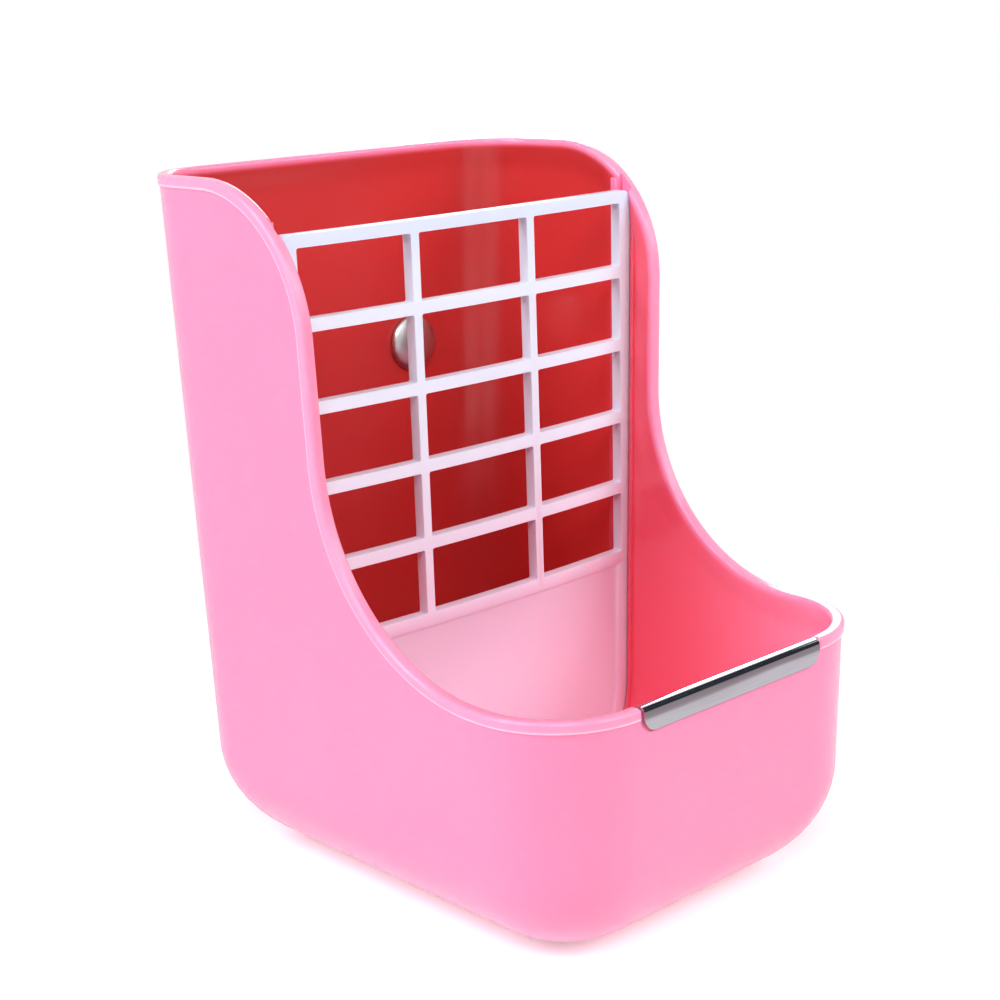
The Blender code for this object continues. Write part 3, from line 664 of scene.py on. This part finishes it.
def shell_mesh():
    """One grid, wrapped from the floor's underside over the rim to the floor's inside."""
    columns = half_columns()
    outside = [(0, turn) for turn in reversed(quarter_turns(FOOT_STEPS))]
    inside = [(WALL, turn) for turn in quarter_turns(FOOT_STEPS)]
    over = [edge_profile(column) for column in columns]
    rows = len(outside) + len(over[0]) + len(inside)
    inner_edge = len(outside) + len(over[0]) - len(SHADE_DEPTHS) - BEAD_FADE_STEPS
    bm = bmesh.new()
    under, highlight_share = {}, {}
    bmesh.ops.create_grid(bm, x_segments=len(columns) - 1, y_segments=rows - 1, size=0.5)
    for vert in bm.verts:
        i = round((vert.co.x + 0.5) * (len(columns) - 1))
        j = round((vert.co.y + 0.5) * (rows - 1))
        over_row = j - len(outside)
        inside_row = over_row - len(over[0])
        if over_row < 0:
            vert.co = foot_point(columns[i], *outside[j])
        elif inside_row < 0:
            inset, depth = over[i][over_row]
            vert.co = edge_point(columns[i], inset, depth)
            # Painted shade grows with the depth under the rim, from the rim's inner edge down
            under[vert] = depth / SHADE_DEPTHS[-1] if j >= inner_edge else 0
            # Painted highlight: full on the bead's thin lower edge, weaker on the rest of its face
            if BEAD_HIGHLIGHT_ROWS[0] <= over_row and j < inner_edge:
                bead = over[i][BEAD_HIGHLIGHT_ROWS[-1]][0] / -BEAD_PROUD
                highlight_share[vert] = bead * (1 if over_row in BEAD_HIGHLIGHT_ROWS else BEAD_FACE_HIGHLIGHT)
        else:
            inset, turn = inside[inside_row]
            vert.co = foot_point(columns[i], inset, turn)
            # Inside the foot the painted shade eases to the floor's share
            under[vert] = 1 - (1 - FLOOR_SHADE) * math.sin(turn) ** 2
    shade = paint_shade_and_highlight(bm, lambda vert: under.get(vert, 0), lambda vert: highlight_share.get(vert, 0))
    bmesh.ops.remove_doubles(bm, verts=bm.verts, dist=MERGE_DISTANCE)
    everything = bm.verts[:] + bm.edges[:] + bm.faces[:]
    bmesh.ops.mirror(bm, geom=everything, axis="X", merge_dist=MERGE_DISTANCE)
    bmesh.ops.remove_doubles(bm, verts=bm.verts, dist=MERGE_DISTANCE)
    openings = [edge for edge in bm.edges if edge.is_boundary]
    # The inside floor gets the floor's share of the painted shade, the underside none
    for face in bmesh.ops.holes_fill(bm, edges=openings, sides=0)["faces"]:
        inside_floor = face.calc_center_median().z > WALL / 2
        for loop in face.loops:
            loop[shade].uv = (FLOOR_SHADE if inside_floor else 0, 0)
    return bm


def inner_side_point(z_or_turn, inset, on_foot):
    """(x, z) of the right wall's section at an inset from its outer face."""
    if not on_foot:
        return half_width(z_or_turn) - inset, z_or_turn
    radius = BOTTOM_RADIUS - inset
    x = half_width(BOTTOM_RADIUS) - BOTTOM_RADIUS + radius * math.cos(z_or_turn)
    return x, BOTTOM_RADIUS - radius * math.sin(z_or_turn)


def guide_mesh(side, front_y, width, reach, unshaded_above):
    """A rib down the inside of a side wall: its profile, extruded and bent to the wall."""
    top = rim_height(Y_BACK - front_y) - GUIDE_BELOW_RIM
    stations = [(top, False)]
    stations += [(share * GUIDE_END_TURN, True) for share in shares(GUIDE_END_STEPS)]
    tip = [inner_side_point(place, WALL + reach, on_foot) for place, on_foot in stations]
    root = [inner_side_point(place, WALL - GUIDE_ROOT, on_foot) for place, on_foot in stations]
    bm = outline_face([(side * x, front_y, z) for x, z in tip + root[::-1]])
    extrude_faces(bm, (0, width, 0))
    tip_places = [Vector((side * x, z)) for x, z in tip]
    on_tip = {vert for vert in bm.verts
              if min((place - vert.co.xz).length for place in tip_places) < MERGE_DISTANCE}
    nose = [edge for edge in bm.edges if all(vert in on_tip for vert in edge.verts)]
    bevel(bm, nose, GUIDE_EDGE_RADIUS, GUIDE_EDGE_SEGMENTS)
    # Cuts where the rib's painted shade fades in, and marks the rib for painted red shade below; above, it
    # keeps the plain pink
    for z in (unshaded_above, unshaded_above - GUIDE_FADE):
        cut(bm, (0, 0, z), (0, 0, 1))
    paint_shade_and_highlight(bm, lambda vert: vert.co.z < unshaded_above - GUIDE_FADE / 2)
    return bm


def notch_mesh(side):
    """The slot that lets the rack's edge up through the bead."""
    front, rear = RACK_FRONT - GUIDE_PLAY, RACK_REAR + GUIDE_PLAY
    low, high = RACK_TOP - NOTCH_BELOW_RACK_TOP, BOX_HEIGHT + OVERRUN
    deep = [(rack_half_width(z) + NOTCH_PLAY, z) for z in (low, high)]
    near = [(x - BEAD_INWARD - OVERRUN, z) for x, z in reversed(deep)]
    bm = outline_face([(side * x, front, z) for x, z in deep + near])
    extrude_faces(bm, (0, rear - front, 0))
    return bm


def guard_outline(margin):
    """The guard's front leg as a face on the front wall, grown by a margin."""
    half, low = GUARD_HALF_LENGTH + margin, BOWL_HEIGHT - GUARD_DROP - margin
    high = BOWL_HEIGHT + OVERRUN
    bm = outline_face([(-half, 0, low), (half, 0, low), (half, 0, high), (-half, 0, high)])
    low_corners = [vert for vert in bm.verts if vert.co.z < BOWL_HEIGHT]
    bevel(bm, low_corners, GUARD_CORNER_RADIUS + margin, GUARD_POCKET_SEGMENTS, affect="VERTICES")
    return bm


def pocket_mesh():
    """The shallow pocket that the guard's front leg sits in."""
    bm = guard_outline(GUARD_POCKET_MARGIN)
    for vert in bm.verts:
        vert.co.y = Y_BACK - box_depth(vert.co.z) + GUARD_POCKET_DEPTH
    extrude_faces(bm, (0, -OVERRUN, 0))
    return bm


def build_box(material):
    shell = to_object("moulded_box", shell_mesh(), material)
    rear_y = RACK_REAR + GUIDE_PLAY
    front_y = RACK_FRONT - GUIDE_PLAY - FRONT_GUIDE_WIDTH
    joined, cutters = [], []
    for side, word in ((-1, "left"), (1, "right")):
        # The rear ribs keep plain pink above the rack's top; the front ribs get painted shade all the way
        # up
        rear = guide_mesh(side, rear_y, REAR_GUIDE_WIDTH, REAR_GUIDE_REACH, RACK_TOP)
        front = guide_mesh(side, front_y, FRONT_GUIDE_WIDTH, FRONT_GUIDE_REACH, BOX_HEIGHT)
        joined.append(to_object(f"{word}_rear_rib", rear))
        joined.append(to_object(f"{word}_front_rib", front))
        hole = turned([(0, -WALL - OVERRUN), (BOLT_RADIUS + BOLT_PLAY, -WALL - OVERRUN),
                       (BOLT_RADIUS + BOLT_PLAY, OVERRUN), (0, OVERRUN)])
        bmesh.ops.translate(hole, verts=hole.verts, vec=(side * CLAMP_FROM_MIDDLE, Y_BACK, CLAMP_HEIGHT))
        cutters.append(to_object(f"{word}_hole", hole))
        cutters.append(to_object(f"{word}_notch", notch_mesh(side)))
    cutters.append(to_object("guard_pocket", pocket_mesh()))
    combine(shell, joined, "UNION")
    combine(shell, cutters, "DIFFERENCE")
    finish_piece(shell, "box", "body_shell", BOX_SHARP_ANGLE)


# The rack, flat at first and then bowed forward
def rack_half_width(z):
    side_play = RACK_LOW_SIDE_PLAY + z / RACK_TOP * (RACK_TOP_SIDE_PLAY - RACK_LOW_SIDE_PLAY)
    return half_width(z) - WALL - side_play


def rack_face():
    """The rack's outline as one flat face, cut along every bar and post."""
    sweep = BOTTOM_RADIUS - WALL - RACK_LOW_SIDE_PLAY
    low = BOTTOM_RADIUS - sweep
    places = ((-1, low), (1, low), (1, RACK_TOP), (-1, RACK_TOP))
    bm = outline_face([(side * rack_half_width(z), RACK_REAR, z) for side, z in places])
    foot = [vert for vert in bm.verts if vert.co.z < BOTTOM_RADIUS]
    corner_half_angle = (math.pi / 2 + SIDE_DRAFT) / 2
    foot_cut = sweep / math.tan(corner_half_angle)
    bevel(bm, foot, foot_cut, RACK_FOOT_SEGMENTS, affect="VERTICES")
    head = [vert for vert in bm.verts if vert.co.z > LATTICE_TOP]
    bevel(bm, head, RACK_CORNER_RADIUS, RACK_HEAD_SEGMENTS, affect="VERTICES")
    cut(bm, (0, 0, RACK_BOTTOM), (0, 0, -1), clear=True)
    return bm


def outer_post_edges():
    """Points on the slanted inner edge of the right outer post, at its foot and head."""
    ends = ((LATTICE_LOW, OUTER_POST_LOW_WIDTH), (LATTICE_TOP, OUTER_POST_TOP_WIDTH))
    return [(rack_half_width(z) - width, z) for z, width in ends]


def cut_windows(bm):
    """Cuts the outline along every bar and post, and takes the windows out."""
    post_edges = (POST_FROM_MIDDLE - POST_WIDTH / 2, POST_FROM_MIDDLE + POST_WIDTH / 2)
    cut(bm, (0, 0, PANEL_TOP), (0, 0, 1))
    for row in range(WINDOW_ROWS):
        low = LATTICE_LOW + row * BAR_PITCH
        for z in (low, low + BAR_PITCH - BAR_HEIGHT):
            cut(bm, (0, 0, z), (0, 0, 1))
    (low_x, low_z), (top_x, top_z) = outer_post_edges()
    for side in (-1, 1):
        for x in post_edges:
            cut(bm, (side * x, 0, 0), (1, 0, 0))
        cut(bm, (side * low_x, 0, low_z), (side * (top_z - low_z), 0, low_x - top_x))
    windows = []
    for face in bm.faces:
        place = face.calc_center_median()
        up_share = (place.z - low_z) / (top_z - low_z)
        outer_post_x = low_x + up_share * (top_x - low_x)
        above_bar = (place.z - LATTICE_LOW) % BAR_PITCH < BAR_PITCH - BAR_HEIGHT
        in_row = LATTICE_LOW < place.z < LATTICE_TOP and above_bar
        on_post = post_edges[0] < abs(place.x) < post_edges[1]
        if in_row and abs(place.x) < outer_post_x and not on_post:
            windows.append(face)
    bmesh.ops.delete(bm, geom=windows, context="FACES")
    bmesh.ops.dissolve_limit(bm, angle_limit=math.radians(1), verts=bm.verts, edges=bm.edges)


def rack_mesh():
    """The rack's plate, with the corners of its windows and its front and rear edges rounded."""
    bm = rack_face()
    cut_windows(bm)
    extrude_faces(bm, (0, -RACK_THICKNESS, 0))
    bmesh.ops.recalc_face_normals(bm, faces=bm.faces)
    corners = []
    for edge in bm.edges:
        through = abs(edge.verts[0].co.y - edge.verts[1].co.y) > RACK_THICKNESS / 2
        if through and edge.calc_face_angle(0) > CORNER_ANGLE and edge.verts[0].co.z > PANEL_TOP:
            corners.append(edge)
    bevel(bm, corners, RACK_REAR_ROUNDING, RACK_REAR_SEGMENTS)
    front = [edge for edge in bm.edges if edge.calc_face_angle(0) >= RIM_ANGLE
             and max(vert.co.y for vert in edge.verts) < RACK_FRONT + MERGE_DISTANCE]
    bevel(bm, front, RACK_FRONT_ROUNDING, RACK_FRONT_SEGMENTS)
    rounding = [vert for vert in bm.verts if vert.co.y < RACK_FRONT + RACK_THICKNESS / 2]
    rounded_depth = max(vert.co.y for vert in rounding) - RACK_FRONT
    for vert in rounding:
        share = (vert.co.y - RACK_FRONT) / rounded_depth
        vert.co.y = RACK_FRONT + share * RACK_ROUNDING_DEPTH
    rear = [edge for edge in bm.edges if edge.calc_face_angle(0) > RIM_ANGLE
            and min(vert.co.y for vert in edge.verts) > RACK_REAR - MERGE_DISTANCE]
    bevel(bm, rear, RACK_REAR_ROUNDING, RACK_REAR_SEGMENTS)
    return bm


def sink_panel(bm):
    """Recesses the panel under the lowest bar, with a soft step round it."""
    cut(bm, (0, 0, PANEL_TOP), (0, 0, 1))
    panel = [face for face in bm.faces
             if face.normal.y < -0.99 and face.calc_center_median().z < PANEL_TOP]
    border = PANEL_BORDER - RACK_FRONT_ROUNDING
    bmesh.ops.inset_region(bm, faces=panel, thickness=border, use_even_offset=True)
    for vert in {vert for face in panel for vert in face.verts}:
        if vert.co.z > PANEL_TOP - PANEL_TOP_REACH:
            vert.co.z = PANEL_TOP
    for _ in range(2):
        bmesh.ops.inset_region(
            bm, faces=panel, thickness=PANEL_STEP_RUN / 2, depth=-PANEL_RECESS / 2, use_even_offset=True
        )


def bow(bm):
    """Divides the rack into upright strips and bows it forward in the middle."""
    widest = rack_half_width(RACK_TOP)
    for share in shares(RACK_STRIPS)[1:-1]:
        cut(bm, (widest * (2 * share - 1), 0, 0), (1, 0, 0))
    for vert in bm.verts:
        half = rack_half_width(max(vert.co.z, BOTTOM_RADIUS))
        vert.co.y -= RACK_CROWN * (1 - (vert.co.x / half) ** 2)


def build_rack(material):
    bm = rack_mesh()
    bmesh.ops.recalc_face_normals(bm, faces=bm.faces)
    bm.normal_update()
    sink_panel(bm)
    bow(bm)
    finish_piece(to_object("lattice_rack", bm, material), "rack", "hay_rack")


def build_guard(material):
    """A strip folded over the front rim: front leg, top and back leg."""
    bm = bmesh.new()
    outer = FRONT_FACE - GUARD_PLAY - GUARD_THICKNESS
    inner = FRONT_FACE + WALL + GUARD_PLAY + GUARD_THICKNESS
    low = BOWL_HEIGHT - GUARD_DROP
    edge = chain(bm, [(-GUARD_HALF_LENGTH, outer, low), (GUARD_HALF_LENGTH, outer, low)])
    for fold in ((0, 0, GUARD_DROP), (0, inner - outer, 0), (0, 0, -GUARD_INNER_DROP)):
        made = bmesh.ops.extrude_edge_only(bm, edges=edge)["geom"]
        edge = [item for item in made if isinstance(item, bmesh.types.BMEdge)]
        moved = [item for item in made if isinstance(item, bmesh.types.BMVert)]
        bmesh.ops.translate(bm, verts=moved, vec=fold)
    bmesh.ops.recalc_face_normals(bm, faces=bm.faces)
    free = [vert for vert in bm.verts if vert.co.z < BOWL_HEIGHT - OVERRUN / 4]
    front_free = [vert for vert in free if vert.co.y < FRONT_FACE]
    bevel(bm, front_free, GUARD_CORNER_RADIUS, GUARD_SEGMENTS, affect="VERTICES")
    bends = [edge for edge in bm.edges if len(edge.link_faces) == 2]
    bevel(bm, bends, GUARD_BEND_RADIUS, GUARD_SEGMENTS)
    for share in shares(GUARD_CROWN_STEPS)[1:-1]:
        cut(bm, (0, 0, BOWL_HEIGHT - share * GUARD_CROWN_RUN), (0, 0, 1))
    for vert in bm.verts:
        up_share = max(1 - (BOWL_HEIGHT - vert.co.z) / GUARD_CROWN_RUN, 0)
        vert.co.y += GUARD_CROWN * up_share**2 * (inner - vert.co.y) / (inner - outer)
    bmesh.ops.recalc_face_normals(bm, faces=bm.faces)
    if any(face.normal.z < -0.9 for face in bm.faces):
        bmesh.ops.reverse_faces(bm, faces=bm.faces)
    bmesh.ops.solidify(bm, geom=bm.faces[:], thickness=GUARD_THICKNESS)
    bmesh.ops.recalc_face_normals(bm, faces=bm.faces)
    finish_piece(to_object("rim_guard", bm, material), "box", "steel_guard")


# Cage fixings, made round the Y axis and moved to the bolt's axis
def to_clamp(bm, side):
    bmesh.ops.translate(bm, verts=bm.verts, vec=(side * CLAMP_FROM_MIDDLE, Y_BACK, CLAMP_HEIGHT))
    return bm


def thread_mesh(start, end):
    """A ridge wound round the bolt: one small profile, spun and drawn along."""
    bm = bmesh.new()
    root = BOLT_RADIUS - 1.5 * THREAD_DEPTH
    profile = [(root, start - THREAD_HALF_ROOT, 0), (BOLT_RADIUS, start - THREAD_HALF_CREST, 0),
               (BOLT_RADIUS, start + THREAD_HALF_CREST, 0), (root, start + THREAD_HALF_ROOT, 0)]
    face = bm.faces.new([bm.verts.new(point) for point in profile])
    turns = (end - start) / THREAD_LEAD
    steps = round(turns * THREAD_STEPS)
    bmesh.ops.spin(
        bm, geom=[face], cent=(0, 0, 0), axis=(0, 1, 0), angle=turns * math.tau,
        dvec=(0, (end - start) / steps, 0), steps=steps,
    )
    return bm


def build_bolt(side, word, material):
    seat = -WALL - SEAT_PLAY
    core = BOLT_RADIUS - THREAD_DEPTH
    dome = BOLT_HEAD_HEIGHT - BOLT_HEAD_EDGE
    head = [(0, seat - BOLT_HEAD_HEIGHT)]
    for turn in reversed(quarter_turns(BOLT_HEAD_STEPS)[:-1]):
        head.append((BOLT_HEAD_RADIUS * math.cos(turn), seat - BOLT_HEAD_EDGE - dome * math.sin(turn)))
    shank = [(BOLT_HEAD_RADIUS, seat - BOLT_HEAD_EDGE / 3), (BOLT_HEAD_RADIUS - BOLT_HEAD_EDGE / 3, seat),
             (BOLT_RADIUS, seat), (BOLT_RADIUS, WIRE_SPACE / 2), (core, WIRE_SPACE / 2 + THREAD_DEPTH),
             (core, BOLT_REACH - BOLT_END_CHAMFER), (core - BOLT_END_CHAMFER, BOLT_REACH), (0, BOLT_REACH)]
    bolt = turned(head + shank)
    bolt_object = to_object(f"{word}_carriage_bolt", to_clamp(bolt, side), material)
    ridges = []
    for start in range(THREAD_STARTS):
        first = WIRE_SPACE / 2 + (start + 1) * THREAD_SPACING
        last = BOLT_REACH - BOLT_END_CHAMFER - (THREAD_STARTS - start - 0.5) * THREAD_SPACING
        ridge = thread_mesh(first, last)
        ridges.append(to_object(f"{word}_thread_{start}", to_clamp(ridge, side)))
    combine(bolt_object, ridges, "UNION")
    finish_piece(bolt_object, "box", f"{word}_clamp_bolt")


def build_plate(side, word, material):
    bore = BOLT_RADIUS + BOLT_PLAY
    near, far = WIRE_SPACE, WIRE_SPACE + PLATE_THICKNESS
    dish = far - PLATE_DISH_DEPTH
    rim = PLATE_RADIUS - PLATE_RIM_WIDTH
    profile = [(bore, near), (PLATE_RADIUS, near), (PLATE_RADIUS, far), (rim, far), (rim, dish),
               (PLATE_BOSS_RADIUS, dish), (PLATE_BOSS_RADIUS, far), (bore, far)]
    profile = rounded(profile, PLATE_EDGE_RADIUS)
    plate = to_object(f"{word}_pressure_plate", to_clamp(turned(profile + profile[:1]), side), material)
    ribs = bmesh.new()
    for i in range(PLATE_RIBS):
        turn = (i + 0.5) / PLATE_RIBS * math.tau
        reach = rim - PLATE_BOSS_RADIUS + PLATE_EDGE_RADIUS
        place = Matrix.Rotation(turn, 4, "Y") @ Matrix.Translation(
            ((rim + PLATE_BOSS_RADIUS) / 2, far - PLATE_THICKNESS / 2 - PLATE_EDGE_RADIUS / 4, 0))
        size = Matrix.Diagonal((reach, PLATE_THICKNESS - PLATE_EDGE_RADIUS, PLATE_RIB_WIDTH, 1))
        bmesh.ops.create_cube(ribs, size=1, matrix=place @ size)
    combine(plate, [to_object(f"{word}_plate_ribs", to_clamp(ribs, side))], "UNION")
    finish_piece(plate, f"{word}_clamp", f"{word}_clamp_plate")


def wing_mesh(direction):
    """One wing of the nut, an upright plate that starts inside the hub."""
    start = BOLT_RADIUS + BOLT_PLAY + WING_ROOT
    foot, top = NUT_START + WING_FOOT, NUT_START + WING_HEIGHT
    shoulder = NUT_START + NUT_LENGTH
    outline = [(start, foot), (NUT_HUB_RADIUS, foot), (WING_SPAN, foot + WING_TIP),
               (WING_SPAN, top), (WING_SPAN - WING_TIP, top),
               (NUT_NOSE_RADIUS, shoulder - WING_TIP / 2), (start, shoulder - WING_TIP)]
    bm = outline_face([(-WING_THICKNESS / 2, y, direction * z) for z, y in outline])
    soft = [vert for vert in bm.verts if abs(vert.co.z) > start + MERGE_DISTANCE]
    bevel(bm, soft, WING_CORNER_RADIUS, WING_CORNER_SEGMENTS, affect="VERTICES")
    extrude_faces(bm, (WING_THICKNESS, 0, 0))
    bmesh.ops.recalc_face_normals(bm, faces=bm.faces)
    flat = [edge for edge in bm.edges
            if abs(edge.verts[0].co.x - edge.verts[1].co.x) < MERGE_DISTANCE]
    bevel(bm, flat, WING_EDGE_RADIUS, WING_EDGE_SEGMENTS)
    return bm


def build_nut(side, word, material):
    bore = BOLT_RADIUS + BOLT_PLAY
    end = NUT_START + NUT_LENGTH
    profile = rounded(
        [(bore, NUT_START), (NUT_HUB_RADIUS, NUT_START), (NUT_HUB_RADIUS, NUT_START + WING_FOOT),
         (NUT_NOSE_RADIUS, end), (bore, end)], NUT_EDGE_RADIUS)
    nut = to_object(f"{word}_winged_nut", to_clamp(turned(profile + profile[:1]), side), material)
    wings = [to_object(f"{word}_wing_{i}", to_clamp(wing_mesh(direction), side))
             for i, direction in enumerate((-1, 1))]
    combine(nut, wings, "UNION")
    finish_piece(nut, f"{word}_nut", f"{word}_wing_nut")


# Studio: a pale floor, soft lamps and the photograph's camera
WORLD_FILL = 0.04
FLOOR_HALF_SIZE = 0.9
FLOOR_GAP = 0.0003
FLOOR_LIFT = 0.35
FLOOR_FADE = (0.12, 0.32)
CARD_Y = FRONT_FACE - 0.100
CARD_ENDS = (0.040, 0.260)
CARD_HEIGHT = 0.260
CARD_ROOF = 0.120
CARD_COLOURS = ("#e0dae0", "#a09498", "#262c34")
CARD_REACHES = ((0.010, 0.028), (0.032, 0.048))
CARD_RIPPLE = 0.008
CAMERA_PLACE = Vector((-0.33690, Y_BACK - 0.43224, 0.22590))
CAMERA_AZIMUTH = math.radians(42.517)
CAMERA_DROP = math.radians(15.253)
CAMERA_ROLL = math.radians(-2.071)
SENSOR_WIDTH_MM = 36.0
FRAME_PIXELS = 1000
FOCAL_PIXELS = 1940.6
CENTRE_PIXELS = (493.6, 523.0)


def add_camera():
    away = Vector((-math.sin(CAMERA_AZIMUTH) * math.cos(CAMERA_DROP),
                   -math.cos(CAMERA_AZIMUTH) * math.cos(CAMERA_DROP), math.sin(CAMERA_DROP)))
    turn = away.to_track_quat("Z", "Y").to_matrix() @ Matrix.Rotation(CAMERA_ROLL, 3, "Z")
    camera = bpy.data.objects.new("camera", bpy.data.cameras.new("camera"))
    camera.matrix_world = Matrix.Translation(CAMERA_PLACE) @ turn.to_4x4()
    camera.data.sensor_width = SENSOR_WIDTH_MM
    camera.data.lens = SENSOR_WIDTH_MM * FOCAL_PIXELS / FRAME_PIXELS
    camera.data.shift_x = (FRAME_PIXELS / 2 - CENTRE_PIXELS[0]) / FRAME_PIXELS
    camera.data.shift_y = (CENTRE_PIXELS[1] - FRAME_PIXELS / 2) / FRAME_PIXELS
    camera.data.clip_start = 0.01
    bpy.context.scene.collection.objects.link(camera)
    bpy.context.scene.camera = camera


def add_lamp(name, place, target, size, power, colour):
    lamp = bpy.data.objects.new(name, bpy.data.lights.new(name, "AREA"))
    lamp.data.shape = "DISK"
    lamp.data.size = size
    lamp.data.energy = power
    lamp.data.color = linear(colour)[:3]
    lamp.location = place
    lamp.rotation_euler = (Vector(place) - Vector(target)).to_track_quat("Z", "Y").to_euler()
    bpy.context.scene.collection.objects.link(lamp)


def seen_directly(tree):
    """1 for what the camera sees straight on, in a reflection or through a clear piece."""
    ray = add(tree, "ShaderNodeLightPath")
    seen = ray.outputs["Is Camera Ray"]
    for kind in ("Is Glossy Ray", "Is Transmission Ray"):
        seen = add(tree, "ShaderNodeMath", {0: seen, 1: ray.outputs[kind]}, operation="MAXIMUM").outputs[0]
    return seen


def add_world():
    """White to the camera and in reflections, and a soft even fill on the object."""
    world = bpy.data.worlds.new("studio")
    world.use_nodes = True
    bpy.context.scene.world = world
    tree = world.node_tree
    fill = add(tree, "ShaderNodeBackground", Color=linear("#ffffff"), Strength=WORLD_FILL)
    white = add(tree, "ShaderNodeBackground", Color=linear("#ffffff"), Strength=1.0)
    links = {0: seen_directly(tree), 1: fill.outputs[0], 2: white.outputs[0]}
    mixed = add(tree, "ShaderNodeMixShader", links)
    tree.links.new(mixed.outputs[0], tree.nodes["World Output"].inputs["Surface"])


def add_floor():
    """A white table that takes the shadow near the object and fades into the backdrop."""
    bm = bmesh.new()
    bmesh.ops.create_grid(bm, x_segments=1, y_segments=1, size=FLOOR_HALF_SIZE)
    bmesh.ops.translate(bm, verts=bm.verts, vec=(0, 0, -FLOOR_GAP))
    material, tree, shader = new_material("white_table", Roughness=0.9, Specular_IOR_Level=0.0)
    shader.inputs["Base Color"].default_value = linear("#f6f6f6")
    seen = seen_directly(tree)
    lift = add(tree, "ShaderNodeMath", {0: seen}, operation="MULTIPLY")
    lift.inputs[1].default_value = FLOOR_LIFT
    tree.links.new(lift.outputs[0], shader.inputs["Emission Strength"])
    shader.inputs["Emission Color"].default_value = linear("#ffffff")
    place = add(tree, "ShaderNodeTexCoord").outputs["Object"]
    reach = add(tree, "ShaderNodeVectorMath", {0: place}, operation="LENGTH")
    away = reach.outputs["Value"]
    fade = add(tree, "ShaderNodeMapRange", {"Value": away}, interpolation_type="SMOOTHSTEP")
    fade.inputs["From Min"].default_value = FLOOR_FADE[0]
    fade.inputs["From Max"].default_value = FLOOR_FADE[1]
    share = add(tree, "ShaderNodeMath", {0: fade.outputs["Result"], 1: seen}, operation="MULTIPLY")
    white = add(tree, "ShaderNodeEmission", Color=linear("#ffffff"), Strength=1.0)
    links = {0: share.outputs[0], 1: shader.outputs[0], 2: white.outputs[0]}
    mixed = add(tree, "ShaderNodeMixShader", links)
    tree.links.new(mixed.outputs[0], tree.nodes["Material Output"].inputs["Surface"])
    to_object("white_table", bm, material, fix_normals=False)


def add_card():
    """A card in front of and over the bowl that only reflections see. It shows the guard the
    dim room that it mirrors in the photograph: pale low down, then grey, then nearly black."""
    material, tree, shader = new_material("room_card", Roughness=1.0, Specular_IOR_Level=0.0)
    place = add(tree, "ShaderNodeTexCoord").outputs["Object"]
    height = add(tree, "ShaderNodeSeparateXYZ", {"Vector": place}).outputs["Z"]
    clouds = add(tree, "ShaderNodeTexNoise", {"Vector": place}, Scale=per_metre(30), Detail=1.0)
    ripple = add(tree, "ShaderNodeMapRange", {"Value": clouds.outputs["Fac"]})
    ripple.inputs["To Min"].default_value = -CARD_RIPPLE
    ripple.inputs["To Max"].default_value = CARD_RIPPLE
    wavy = add(tree, "ShaderNodeMath", {0: height, 1: ripple.outputs["Result"]}, operation="ADD")
    tone = blend_along(tree, wavy.outputs[0], CARD_COLOURS, CARD_REACHES)
    glow = add(tree, "ShaderNodeEmission", {"Color": tone}, Strength=1.0)
    tree.links.new(glow.outputs[0], tree.nodes["Material Output"].inputs["Surface"])
    left, right = CARD_ENDS
    bm = bmesh.new()
    roof_end = (left, CARD_Y + CARD_ROOF, CARD_HEIGHT)
    edges = chain(bm, [(left, CARD_Y, 0), (left, CARD_Y, CARD_HEIGHT), roof_end])
    made = bmesh.ops.extrude_edge_only(bm, edges=edges)["geom"]
    far = [item for item in made if isinstance(item, bmesh.types.BMVert)]
    bmesh.ops.translate(bm, verts=far, vec=(right - left, 0, 0))
    card = to_object("room_card", bm, material)
    card.visible_camera = False
    card.visible_diffuse = False
    card.visible_shadow = False
    card.visible_transmission = False


def main():
    add_camera()
    pink = moulded_polypropylene(
        "pink_polypropylene", "#ff8fb5", "#ff8bb2", (0.19, 0.26), 0.6, (1.0, 0.10, 0.14), 0.005
    )
    white = moulded_polypropylene(
        "white_polypropylene", "#e8edff", "#e4e9fc", (0.29, 0.38), 0.4, (0.9, 0.9, 1.0), 0.002
    )
    pale = moulded_polypropylene(
        "pale_polypropylene", "#e9e9ee", "#e4e4ea", (0.34, 0.44), 0.3, (1.0, 0.9, 0.9), 0.001
    )
    paint_inside_shade(pink)
    paint_rack_bounce_light(white)
    build_box(pink)
    build_rack(white)
    build_guard(polished_stainless())
    zinc = bright_zinc()
    for side, word in ((-1, "left"), (1, "right")):
        build_bolt(side, word, zinc)
        build_plate(side, word, pale)
        build_nut(side, word, pale)
    add_world()
    add_floor()
    add_card()
    middle = (0, 0, 0.09)
    add_lamp("left_softbox", (-1.2, 0.2, 1.2), middle, 0.9, 17.5, "#f6f6ff")
    add_lamp("left_fill", (-1.4, 0.35, 0.22), middle, 1.0, 8.5, "#f6f6ff")
    add_lamp("key", (-0.9, -1.0, 1.3), middle, 0.7, 12, "#fff7f4")
    add_lamp("front_softbox", (0.35, -1.45, 0.95), middle, 0.9, 10, "#fffafa")
    add_lamp("right_softbox", (0.95, -1.1, 0.82), middle, 0.9, 10, "#fffafa")
    add_lamp("rim_light", (1.1, 0.95, 0.62), middle, 0.6, 6, "#ffffff")
    bpy.context.scene.view_settings.view_transform = "Standard"


main()
